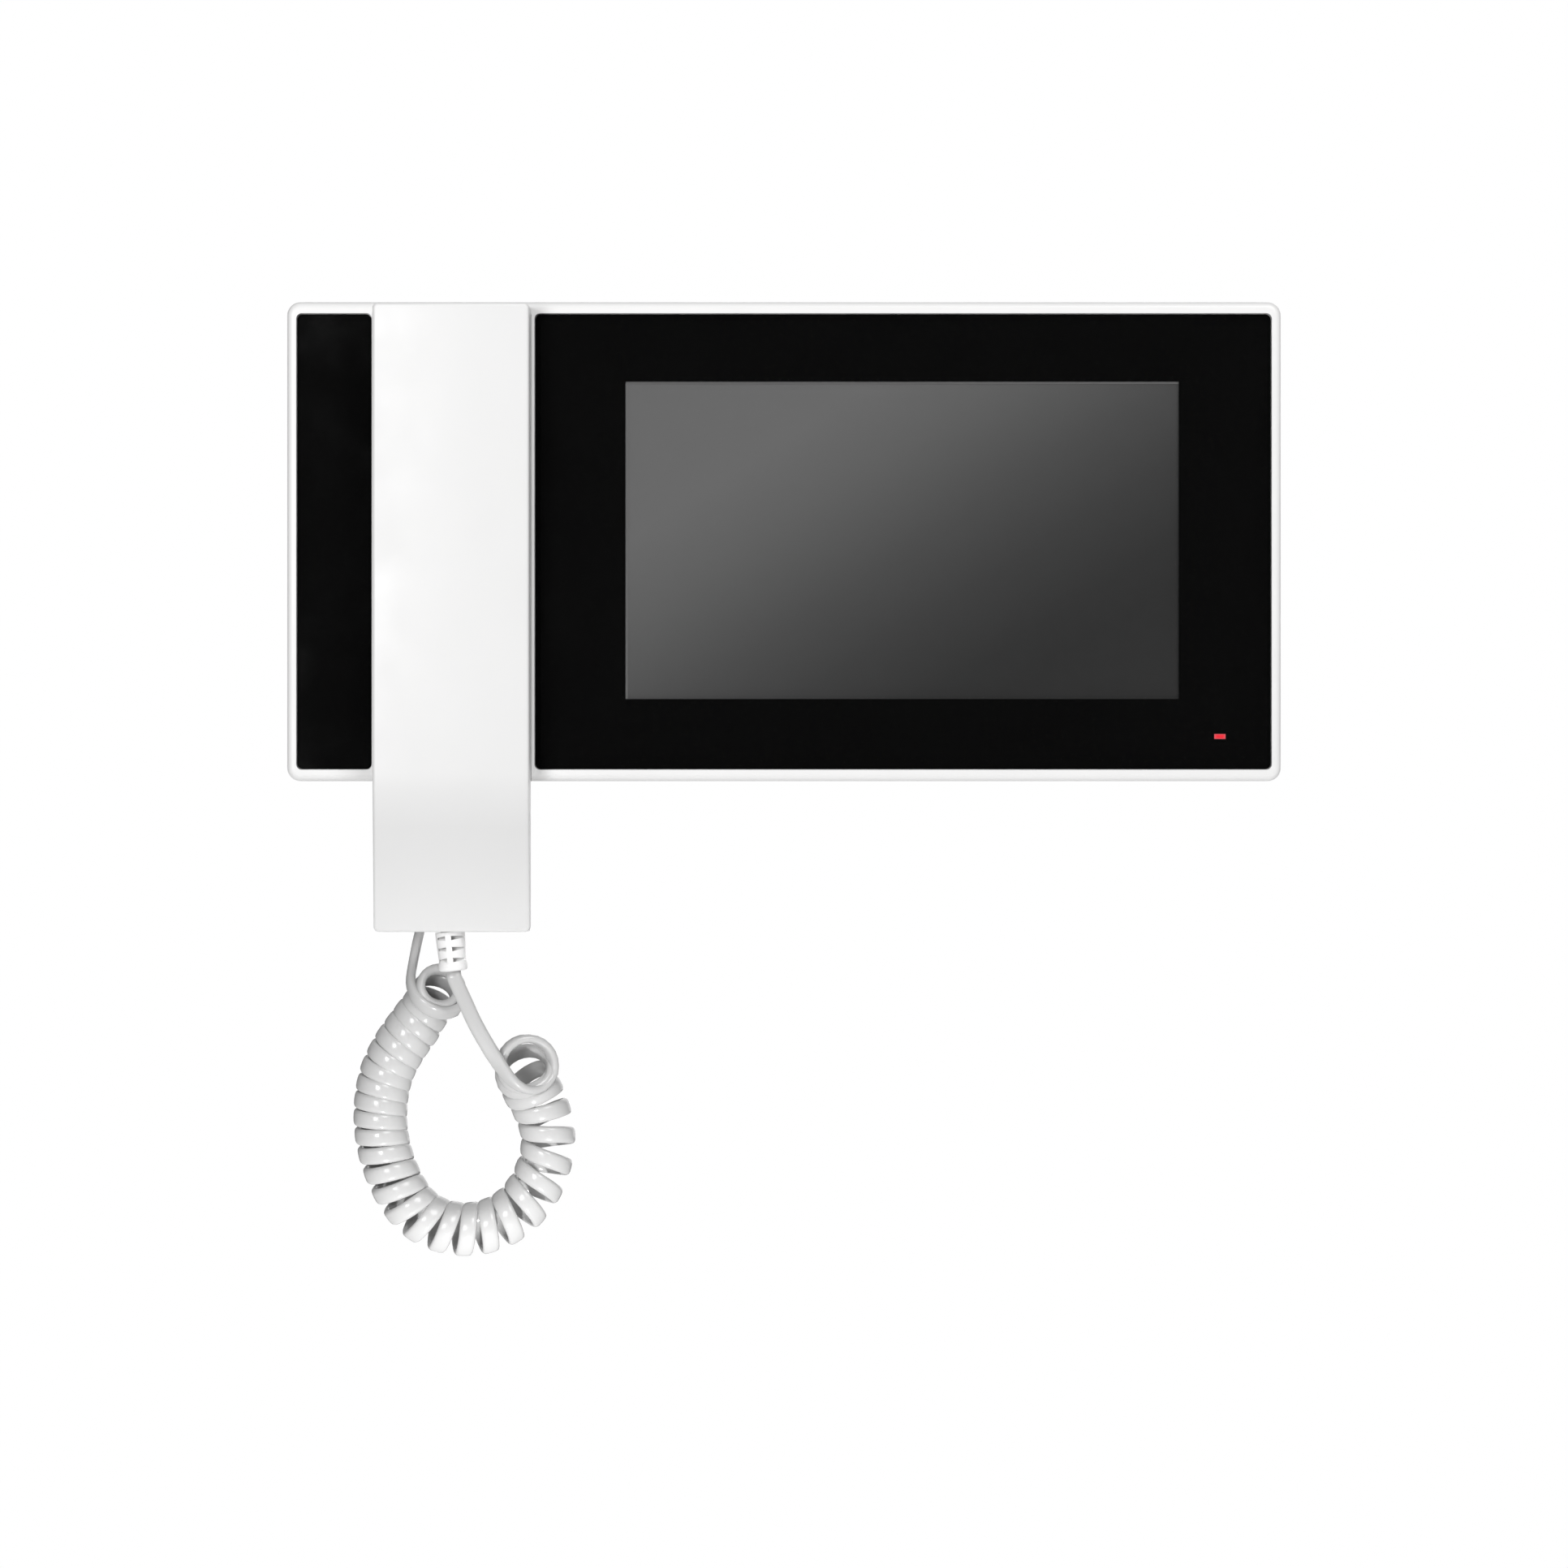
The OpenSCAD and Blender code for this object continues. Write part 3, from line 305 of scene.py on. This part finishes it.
def drop(z):
    """How far the front has fallen back at height z: a slow curve to the crease, then a straight lean."""
    curved = np.clip(CURVE_FROM_Z - z, 0, CURVE_FROM_Z - CREASE_Z)
    below = CREASE_Z - z
    soft = 0.5 * (below + np.sqrt(below**2 + 0.5))
    return CURVE * curved**2 / (2 * (CURVE_FROM_Z - CREASE_Z)) + LEAN * soft


def open_box(inset, corner, edge):
    """Points and faces of a box without a back, inset from the handset's outer faces.

    Its outline seen from the front has the corner radius, and its front edges have the edge radius.
    """
    w = HANDSET_HALF_W - inset
    low, high, front = HANDSET_LOW + inset, HANDSET_HIGH - inset, HANDSET_FRONT - inset
    xs, zs = spread(-w, w, corner, 15), spread(low, high, corner, 60)
    side, rounding = np.linspace(HANDSET_BACK, front - edge, 5), np.linspace(front - edge, front, 7)
    ds = np.concatenate([side, rounding[1:]])
    points, index, faces = [], {}, []

    def at(p):
        """The number of point p, which sides that meet there share."""
        key = tuple(np.round(p, 5))
        if key not in index:
            index[key] = len(points)
            points.append(p)
        return index[key]

    sides = [
        (xs, zs, lambda a, b: (a, front, b)),
        (zs, ds, lambda a, b: (w, b, a)),
        (ds, zs, lambda a, b: (-w, a, b)),
        (ds, xs, lambda a, b: (b, a, high)),
        (xs, ds, lambda a, b: (a, b, low)),
    ]
    for us, vs, place in sides:
        for a0, a1 in zip(us[:-1], us[1:]):
            for b0, b1 in zip(vs[:-1], vs[1:]):
                faces.append([at(place(a0, b0)), at(place(a1, b0)), at(place(a1, b1)), at(place(a0, b1))])

    p = np.array(points)
    # How far out each point is from a core without corners, with square corners turned into round ones
    core_x = np.clip(p[:, 0], corner - w, w - corner)
    core_z = np.clip(p[:, 2], low + corner, high - corner)
    core = np.stack([core_x, core_z], axis=1)
    out = p[:, [0, 2]] - core
    reach = np.abs(out).max(axis=1)
    aim = out / np.maximum(np.linalg.norm(out, axis=1), 1e-9)[:, None]
    # Then the front edge is rounded between the front and the sides
    a, b = np.maximum(reach - (corner - edge), 0), np.maximum(p[:, 1] - (front - edge), 0)
    scale = np.where((a > 0) & (b > 0), edge / np.maximum(np.hypot(a, b), 1e-9), 1)
    reach = np.where(a > 0, corner - edge + a * scale, reach)
    p[:, 1] = np.where(b > 0, front - edge + b * scale, p[:, 1])
    p[:, [0, 2]] = core + aim * reach[:, None]
    # Last, the crown and the lean, in full at the front and not at all at the back rim
    share = np.clip((p[:, 1] - HANDSET_BACK) / (front - HANDSET_BACK), 0, 1)
    p[:, 1] -= share * (CROWN * (p[:, 0] / w) ** 2 + drop(p[:, 2]))
    return p, faces


def handset_shell():
    """The shell: an outer and an inner open box, joined round the back rim."""
    outer, faces = open_box(0, HANDSET_CORNER_R, HANDSET_EDGE_R)
    inner, inner_faces = open_box(HANDSET_WALL, 0.6, 0.4)
    n = len(outer)
    edges = {(f[k], f[(k + 1) % 4]) for f in faces for k in range(4)}
    rim = [(b, a, a + n, b + n) for a, b in edges if (b, a) not in edges]
    everything = faces + [[n + i for i in reversed(f)] for f in inner_faces] + rim
    places = [here(HANDSET_X + x, d, z) for x, d, z in np.vstack([outer, inner])]
    return add_mesh("handset_front", places, everything)


def revolved(name, profile, base, along, count=48):
    """A solid of revolution. profile lists (distance along, radius) in millimetres; base is in metres."""
    along = unit(np.array(along, float))
    u = unit(np.cross(along, [0.3, 1, 0.1]))
    v = np.cross(along, u)
    turn = np.linspace(0, math.tau, count, endpoint=False)[:, None]
    circle = np.cos(turn) * u + np.sin(turn) * v
    verts = np.vstack([base + along * t * MM + circle * r * MM for t, r in profile])
    return add_mesh(name, verts, ring_faces(len(profile), count))


def cut(obj, cutters):
    """obj with the cutters taken away from it. Edges sharper than 35 degrees stay sharp."""
    for cutter in cutters:
        boolean = obj.modifiers.new("cut", "BOOLEAN")
        boolean.operation, boolean.solver, boolean.object = "DIFFERENCE", "EXACT", cutter
    bpy.context.view_layer.update()
    mesh = bpy.data.meshes.new_from_object(obj.evaluated_get(bpy.context.evaluated_depsgraph_get()))
    obj.modifiers.clear()
    obj.data = mesh
    for cutter in cutters:
        bpy.data.objects.remove(cutter)
    mesh.set_sharp_from_angle(angle=math.radians(35))


handset_front = handset_shell()
hole = revolved("boot_hole", [(0, 2.7), (4, 2.7)], here(BOOT_X, BOOT_D, HANDSET_LOW + 3), (0, 0, -1))
cut(handset_front, [hole])
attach(handset_front, "handset")
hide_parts("handset_front_shell")


# ---------- Strain relief: a tapered boot with three rows of slots at the front and the back ----------

BOOT_LEAN = math.radians(5)
BOOT_DOWN = np.array([math.sin(BOOT_LEAN), 0, -math.cos(BOOT_LEAN)])
BOOT_ACROSS = np.array([math.cos(BOOT_LEAN), 0, math.sin(BOOT_LEAN)])
BOOT_PROFILE = [
    (-2.5, 2.55), (0, 2.55), (0.02, 4.05), (0.2, 4.2), (3.3, 4.08), (6.6, 3.9), (8.3, 3.78), (8.8, 3.98),
    (9.3, 4.12), (10.1, 4.12), (10.6, 3.98), (10.95, 3.6), (11.1, 3.0), (11.15, 2.3),
]
SLOT_ROWS = [1.75, 4.85, 7.95]
SLOT_FLOOR = 1.1


def slot_cutter(row, inner, outer, front):
    """A wedge across the boot at distance row, from x inner to x outer, at its front (1) or back (-1)."""
    base = here(BOOT_X, BOOT_D, HANDSET_LOW)
    verts = [
        base + (BOOT_ACROSS * x + BOOT_DOWN * (row + side * half) + np.array([0, -front, 0]) * y) * MM
        for y in (SLOT_FLOOR, 7)
        for x, side, half in ((inner, -1, 0.6), (inner, 1, 0.6), (outer, 1, 0.3), (outer, -1, 0.3))
    ]
    faces = [(0, 1, 2, 3), (7, 6, 5, 4), (0, 4, 5, 1), (1, 5, 6, 2), (2, 6, 7, 3), (3, 7, 4, 0)]
    cutter = add_mesh("slot_cutter", verts, faces, smooth=False)
    a, b, c = (np.array(verts[i]) for i in (0, 1, 2))
    # Mirrored cutters come out inside out, and are turned round
    if np.cross(b - a, c - a) @ (np.mean(verts, axis=0) - a) > 0:
        cutter.data.flip_normals()
    return cutter


boot = revolved("strain_boot", BOOT_PROFILE, here(BOOT_X, BOOT_D, HANDSET_LOW), BOOT_DOWN, 64)
cut(boot, [
    slot_cutter(row, *span, front)
    for row in SLOT_ROWS
    for span in ((-1.35, -3.5), (0.35, 3.6))
    for front in (1, -1)
])
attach(boot, "handset")
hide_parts("strain_relief")


# ---------- Materials ----------


class Look:
    """A node material: one Principled shader, and short ways to vary it over the surface in metres."""

    def __init__(self, name, rough, metal=0.0):
        self.material = bpy.data.materials.new(name)
        self.material.use_nodes = True
        self.tree = self.material.node_tree
        self.shader = self.tree.nodes["Principled BSDF"]
        self.place = self.node("ShaderNodeTexCoord").outputs["Object"]
        self.set("Metallic", metal)
        self.set("Roughness", rough)
        self.normal = None

    def node(self, kind, **settings):
        """A new node with the given settings."""
        node = self.tree.nodes.new(kind)
        for key, value in settings.items():
            setattr(node, key, value)
        return node

    def set(self, socket, value):
        """Give the shader's socket a plain value or a link."""
        if isinstance(value, bpy.types.NodeSocket):
            self.tree.links.new(value, self.shader.inputs[socket])
        else:
            self.shader.inputs[socket].default_value = value

    def wire(self, node, **inputs):
        """Link or set a node's inputs by index (i0, i1, ...) or by name, and give its first output."""
        for key, value in inputs.items():
            target = node.inputs[int(key[1:]) if key[0] == "i" and key[1:].isdigit() else key]
            if isinstance(value, bpy.types.NodeSocket):
                self.tree.links.new(value, target)
            else:
                target.default_value = value
        return node.outputs[0]

    def stretched(self, scale):
        """The place with each axis scaled, which draws patterns out along the axes below 1."""
        node = self.node("ShaderNodeMapping")
        return self.wire(node, Vector=self.place, Scale=scale)

    def noise(self, size, detail=2.0, stretch=None):
        """Noise whose features are about size metres across."""
        where = self.stretched(stretch) if stretch else self.place
        return self.wire(self.node("ShaderNodeTexNoise"), Vector=where, Scale=1 / size, Detail=detail)

    def cells(self, size, feature="F1", stretch=None):
        """Irregular cells about size metres across."""
        node = self.node("ShaderNodeTexVoronoi", feature=feature)
        where = self.stretched(stretch) if stretch else self.place
        return self.wire(node, Vector=where, Scale=1 / size)

    def waves(self, size, direction):
        """Bands size metres apart along X, Y or Z."""
        node = self.node("ShaderNodeTexWave", bands_direction=direction)
        return self.wire(node, Vector=self.place, Scale=0.314 / size, Distortion=0.0, Detail=0.0)

    def range(self, value, low, high, to_low, to_high, clamp=True):
        """The value rescaled from low...high to to_low...to_high."""
        node = self.node("ShaderNodeMapRange", clamp=clamp)
        return self.wire(node, i0=value, i1=low, i2=high, i3=to_low, i4=to_high)

    def maths(self, operation, a, b=0.0):
        """The operation on a and b, with Blender's name for it."""
        return self.wire(self.node("ShaderNodeMath", operation=operation), i0=a, i1=b)

    def mix(self, amount, a, b):
        """Colour a at 0 and colour b at 1."""
        node = self.node("ShaderNodeMix", data_type="RGBA")
        self.wire(node, i0=amount, i6=a, i7=b)
        return node.outputs[2]

    def ramp(self, value, stops):
        """A colour ramp through stops of (place, colour)."""
        node = self.node("ShaderNodeValToRGB")
        elements = node.color_ramp.elements
        while len(elements) < len(stops):
            elements.new(0.5)
        for element, (at, colour) in zip(elements, stops):
            element.position, element.color = at, colour
        return self.wire(node, i0=value)

    def axis(self, index):
        """Position in metres along x, y or z of the shared frame."""
        node = self.node("ShaderNodeSeparateXYZ")
        self.wire(node, i0=self.place)
        return node.outputs[index]

    def bump(self, height, depth):
        """Relief of the given depth in metres, on top of any put on before."""
        node = self.node("ShaderNodeBump")
        self.wire(node, Height=height, Distance=depth, Strength=1.0)
        if self.normal:
            self.wire(node, Normal=self.normal)
        self.normal = node.outputs[0]
        self.set("Normal", self.normal)


def grey(tone, warmth=0.0):
    """A grey, a little warmer or cooler if warmth is set."""
    return (tone * (1 + warmth), tone, tone * (1 - warmth), 1)


def scaled(colour, factor):
    """The colour made lighter or darker."""
    return tuple(c * factor for c in colour[:3]) + (1,)


def moulded(name, colour, rough, patch=0.03, shade=0.02, grain=0.0004, depth=0.000004):
    """Moulded plastic: faint shade patches, handled places that shine a little more, and a fine texture."""
    look = Look(name, rough)
    look.tone = look.mix(look.noise(patch, 3.0), scaled(colour, 1 - shade), scaled(colour, 1 + shade))
    look.set("Base Color", look.tone)
    worn = look.noise(patch * 0.6, 4.0)
    look.set("Roughness", look.range(worn, 0.3, 0.7, rough - 0.07, rough + 0.07))
    look.bump(look.noise(grain, 2.0), depth)
    return look


def metallic(name, colour, rough, stretch=(1, 1, 1), grain=0.0003, depth=0.000006, spangle=0.0):
    """Metal: grain drawn out along one axis, stains in the gloss, and zinc crystals if spangle is set."""
    look = Look(name, rough, metal=1.0)
    tone = look.cells(spangle) if spangle else look.noise(0.012, 4.0)
    look.set("Base Color", look.mix(tone, scaled(colour, 0.86), scaled(colour, 1.08)))
    lines = look.noise(grain, 3.0, stretch=stretch)
    look.set("Roughness", look.range(lines, 0.25, 0.75, rough - 0.1, rough + 0.12))
    look.bump(lines, depth)
    return look


looks = {
    "white_abs": moulded("white_abs_look", grey(0.85, 0.003), 0.38),
    "handset": moulded("handset_look", grey(0.8, 0.002), 0.43, shade=0.008),
    "inner_abs": moulded("inner_abs_look", grey(0.74, 0.006), 0.5, grain=0.0007, depth=0.00001),
    "dark_resin": moulded(
        "dark_resin_look", (0.018, 0.018, 0.02, 1), 0.5, patch=0.006, shade=0.15, depth=0.00001
    ),
    "green_resin": moulded("green_resin_look", (0.02, 0.22, 0.06, 1), 0.4, patch=0.005, shade=0.08),
    "rubber": moulded("rubber_look", (0.03, 0.03, 0.032, 1), 0.75, patch=0.003, shade=0.2, depth=0.000012),
    "white_pvc": moulded("white_pvc_look", grey(0.86, 0.003), 0.3, patch=0.01, shade=0.012, grain=0.0006),
    "coil_pvc": moulded(
        "coil_pvc_look", grey(0.51, 0.002), 0.2, patch=0.006, shade=0.015, grain=0.0012, depth=0.00001
    ),
    "screw_steel": metallic("screw_steel_look", (0.55, 0.55, 0.54, 1), 0.35),
    "spring_steel": metallic("spring_steel_look", (0.62, 0.61, 0.58, 1), 0.28),
    "magnet_steel": metallic("magnet_steel_look", (0.5, 0.5, 0.52, 1), 0.22, depth=0.000003),
    "zinc_steel": metallic(
        "zinc_steel_look", (0.6, 0.61, 0.62, 1), 0.4, stretch=(0.15, 1, 1), spangle=0.007
    ),
}
# Painted shade: the mouthpiece end, below the crease, is made a little darker, standing in for the shade
# where it leans back
ends = looks["handset"]
below = ends.range(ends.axis(2), (CREASE_Z + 3) * MM, (CREASE_Z - 12) * MM, 0.0, 1.0)
ends.set("Base Color", ends.mix(below, ends.tone, grey(0.72, 0.002)))

# Glass: clear and slightly dark, with finger marks; the gloss comes mostly from the print right behind it
glass = Look("black_glass_look", 0.06)
glass.set("Base Color", glass.mix(glass.noise(0.02, 3.0), grey(0.003), grey(0.006)))
glass.set("Roughness", glass.range(glass.noise(0.015, 5.0, stretch=(1, 1, 0.6)), 0.45, 0.75, 0.03, 0.09))
glass.set("Alpha", 0.12)
glass.bump(glass.noise(0.05, 1.0), 0.00002)
looks["black_glass"] = glass

film = Look("printed_film_look", 0.08)
film.set("Base Color", film.mix(film.noise(0.0004, 2.0), grey(0.0028), grey(0.0045)))
film.set("Roughness", film.range(film.noise(0.018, 4.0), 0.45, 0.7, 0.04, 0.1))
film.bump(film.noise(0.003, 1.0), 0.0000006)
looks["printed_film"] = film

# Screen: a painted reflection of soft light, whose grey fades from the upper left to the lower right,
# with a thin lighter strip at the left and the top. SCREEN_TONES gives (share of the way across
# + steepness x share of the way down, grey).
WINDOW_W, WINDOW_H = 0.156, 0.0895
WINDOW_LEFT, WINDOW_TOP = -0.0447, 0.04515
SCREEN_FRONT_Y = -0.0238
SCREEN_STEEPNESS = 0.887
SCREEN_SPAN = 1.887
SCREEN_STRIP = 0.0006
SCREEN_TONES = [(0.45, 0.138), (0.675, 0.114), (0.99, 0.0704), (1.2, 0.0497), (1.43, 0.0345), (1.55, 0.031)]
SCREEN_GAIN = 1.62

screen = Look("lcd_look", 0.12)
x, y, z = (screen.axis(i) for i in range(3))
across = screen.range(x, WINDOW_LEFT, WINDOW_LEFT + WINDOW_W, 0.0, 1 / SCREEN_SPAN)
down = screen.range(z, WINDOW_TOP, WINDOW_TOP - WINDOW_H, 0.0, SCREEN_STEEPNESS / SCREEN_SPAN)
# Painted reflection: the grey that fades from the upper left to the lower right
painted_reflection = screen.ramp(
    screen.maths("ADD", across, down), [(p / SCREEN_SPAN, grey(t * SCREEN_GAIN)) for p, t in SCREEN_TONES]
)
near_left = screen.maths("LESS_THAN", x, WINDOW_LEFT + SCREEN_STRIP)
near_top = screen.maths("GREATER_THAN", z, WINDOW_TOP - SCREEN_STRIP)
lit = screen.mix(screen.maths("MAXIMUM", near_left, near_top), painted_reflection, grey(0.165 * SCREEN_GAIN))
# Columns of pixels, and the metal case behind and around the picture
pixels = screen.range(screen.waves(0.00019, "X"), 0.0, 1.0, 0.0, 0.03)
lit = screen.mix(pixels, lit, grey(0.0))
case = screen.mix(screen.noise(0.004, 3.0), grey(0.42), grey(0.5))
screen.set("Base Color", screen.mix(screen.maths("GREATER_THAN", y, SCREEN_FRONT_Y), lit, case))
screen.set("Roughness", screen.range(screen.noise(0.02, 3.0), 0.4, 0.7, 0.06, 0.1))
screen.bump(screen.noise(0.004, 1.0), 0.0000006)
looks["lcd_stack"] = screen

# Status light: red in the middle, paler towards the rim
LED_X, LED_Z = 0.1229, -0.0549
LED_HALF_W, LED_HALF_H = 0.00155, 0.00065
lamp = Look("red_lens_look", 0.25)
off_x = lamp.maths("ABSOLUTE", lamp.range(lamp.axis(0), LED_X, LED_X + LED_HALF_W, 0.0, 1.0, clamp=False))
off_z = lamp.maths("ABSOLUTE", lamp.range(lamp.axis(2), LED_Z, LED_Z + LED_HALF_H, 0.0, 1.0, clamp=False))
rim = lamp.range(lamp.maths("MAXIMUM", off_x, off_z), 0.55, 1.0, 0.0, 1.0)
glow = lamp.mix(rim, (0.93, 0.03, 0.05, 1), (0.66, 0.14, 0.16, 1))
lamp.set("Base Color", lamp.mix(lamp.noise(0.0005, 2.0), (0.3, 0.01, 0.015, 1), (0.4, 0.015, 0.02, 1)))
lamp.set("Emission Color", glow)
lamp.set("Emission Strength", 0.85)
lamp.bump(lamp.noise(0.0004, 1.0), 0.000005)
looks["red_lens"] = lamp

clear = Look("clear_resin_look", 0.12)
clear.set("Base Color", clear.mix(clear.noise(0.003, 2.0), (0.75, 0.78, 0.8, 1), (0.9, 0.92, 0.94, 1)))
clear.set("Roughness", clear.range(clear.noise(0.002, 3.0), 0.3, 0.7, 0.08, 0.2))
clear.set("Alpha", 0.45)
clear.bump(clear.noise(0.0015, 2.0), 0.00001)
looks["clear_resin"] = clear

# Circuit board: green lacquer over copper tracks, with plated holes
board = Look("circuit_board_look", 0.35)
tracks = board.range(board.cells(0.0024, "DISTANCE_TO_EDGE", stretch=(1, 0, 1)), 0.06, 0.1, 1.0, 0.0)
holes = board.range(board.cells(0.0037, stretch=(1, 0, 1)), 0.07, 0.1, 1.0, 0.0)
lacquer = board.mix(tracks, (0.008, 0.085, 0.03, 1), (0.02, 0.16, 0.055, 1))
board.set("Base Color", board.mix(holes, lacquer, (0.75, 0.62, 0.35, 1)))
board.set("Roughness", board.range(board.noise(0.004, 3.0), 0.3, 0.7, 0.28, 0.42))
board.bump(board.maths("SUBTRACT", tracks, holes), 0.00003)
looks["circuit_board"] = board

flex = Look("polyimide_look", 0.35)
copper = flex.range(flex.waves(0.0008, "X"), 0.35, 0.65, 0.0, 1.0)
flex.set("Base Color", flex.mix(copper, (0.35, 0.13, 0.02, 1), (0.55, 0.25, 0.06, 1)))
flex.set("Roughness", flex.range(flex.noise(0.003, 3.0), 0.3, 0.7, 0.28, 0.42))
flex.bump(copper, 0.00001)
looks["polyimide"] = flex

foam = Look("foam_tape_look", 0.9)
foam.set("Base Color", foam.mix(foam.noise(0.0006, 3.0), grey(0.015), grey(0.045)))
foam.bump(foam.cells(0.0004), 0.00012)
looks["foam_tape"] = foam

paper = Look("paper_cone_look", 0.85)
paper.set("Base Color", paper.mix(paper.noise(0.0008, 5.0), grey(0.02, 0.05), grey(0.06, 0.05)))
paper.bump(paper.noise(0.0005, 4.0, stretch=(1, 1, 0.4)), 0.00006)
looks["paper_cone"] = paper

cloth = Look("cloth_look", 0.9)
weave = cloth.maths("MULTIPLY", cloth.waves(0.0006, "X"), cloth.waves(0.0006, "Z"))
cloth.set("Base Color", cloth.mix(weave, grey(0.008), grey(0.05)))
cloth.bump(weave, 0.00015)
looks["cloth"] = cloth

for node in nodes.values():
    for held in node.material_slots:
        held.material = looks[held.material.name.split(".")[0]].material
for piece, look in ((handset_front, "handset"), (boot, "white_pvc"), (cord, "coil_pvc")):
    piece.data.materials.clear()
    piece.data.materials.append(looks[look].material)

# ---------- Studio: a pale floor far below, soft lights, and white behind everything ----------

FLOOR_Z = -1400
FLOOR_HALF = 4000
corners = [here(x * FLOOR_HALF, d * FLOOR_HALF, FLOOR_Z) for x, d in ((-1, 1), (1, 1), (1, -1), (-1, -1))]
floor = add_mesh("floor", corners, [(0, 1, 2, 3)])
ground = Look("floor_look", 0.8)
ground.set("Base Color", ground.mix(ground.noise(0.4, 4.0), grey(0.84), grey(0.88)))
ground.set("Emission Color", grey(1.0))
ground.set("Emission Strength", 0.38)
ground.bump(ground.noise(0.004, 3.0), 0.0002)
floor.data.materials.append(ground.material)


def aimed(name, kind, place, target, power):
    """A light of the given kind that faces the target."""
    data = bpy.data.lights.new(name, kind)
    data.energy = power
    light = bpy.data.objects.new(name, data)
    light.location = Vector(place)
    light.rotation_euler = (Vector(target) - light.location).to_track_quat("-Z", "Y").to_euler()
    bpy.context.scene.collection.objects.link(light)
    return data


MIDDLE = (0, 0, -0.03)
aimed("key", "AREA", (-0.68, -1.85, 0.14), MIDDLE, 15.6).size = 0.5
aimed("fill", "AREA", (0.62, -1.4, 1.0), MIDDLE, 16).size = 0.8
aimed("back", "AREA", (0.7, 2.0, 0.6), MIDDLE, 14).size = 2
low = aimed("low", "SPOT", (0.05, -1.15, -1.3), (-0.088, -0.01, -0.205), 150)
low.spot_size, low.spot_blend, low.shadow_soft_size = math.radians(4.4), 0.6, 0.06

# The camera sees a white room. Everything else sees a dim one, weaker from below than from above, and dark
# in directions whose y is below DARK_Y, where the glass looks; full light begins at LIT_Y.
ROOM = 0.2
DARK_Y, LIT_Y, DARK = -0.98, -0.85, 0.02
FROM_BELOW, FROM_ABOVE = 0.4, 1.4
world = bpy.data.worlds.new("studio")
bpy.context.scene.world = world
world.use_nodes = True
room = world.node_tree
link = room.links.new
aim = room.nodes.new("ShaderNodeSeparateXYZ")
link(room.nodes.new("ShaderNodeTexCoord").outputs["Generated"], aim.inputs[0])
level = room.nodes.new("ShaderNodeMapRange")
link(aim.outputs[1], level.inputs[0])
for index, value in enumerate((DARK_Y, LIT_Y, DARK, ROOM)):
    level.inputs[index + 1].default_value = value
height = room.nodes.new("ShaderNodeMapRange")
link(aim.outputs[2], height.inputs[0])
for index, value in enumerate((-1.0, 1.0, FROM_BELOW, FROM_ABOVE)):
    height.inputs[index + 1].default_value = value
product = room.nodes.new("ShaderNodeMath")
product.operation = "MULTIPLY"
link(level.outputs[0], product.inputs[0])
link(height.outputs[0], product.inputs[1])
around = room.nodes["Background"]
link(product.outputs[0], around.inputs["Strength"])
around.inputs["Color"].default_value = (1, 1, 1, 1)
behind = room.nodes.new("ShaderNodeBackground")
behind.inputs["Color"].default_value = (1, 1, 1, 1)
choice = room.nodes.new("ShaderNodeMixShader")
link(room.nodes.new("ShaderNodeLightPath").outputs["Is Camera Ray"], choice.inputs[0])
link(around.outputs[0], choice.inputs[1])
link(behind.outputs[0], choice.inputs[2])
link(choice.outputs[0], room.nodes["World Output"].inputs["Surface"])
bpy.context.scene.view_settings.view_transform = "Standard"
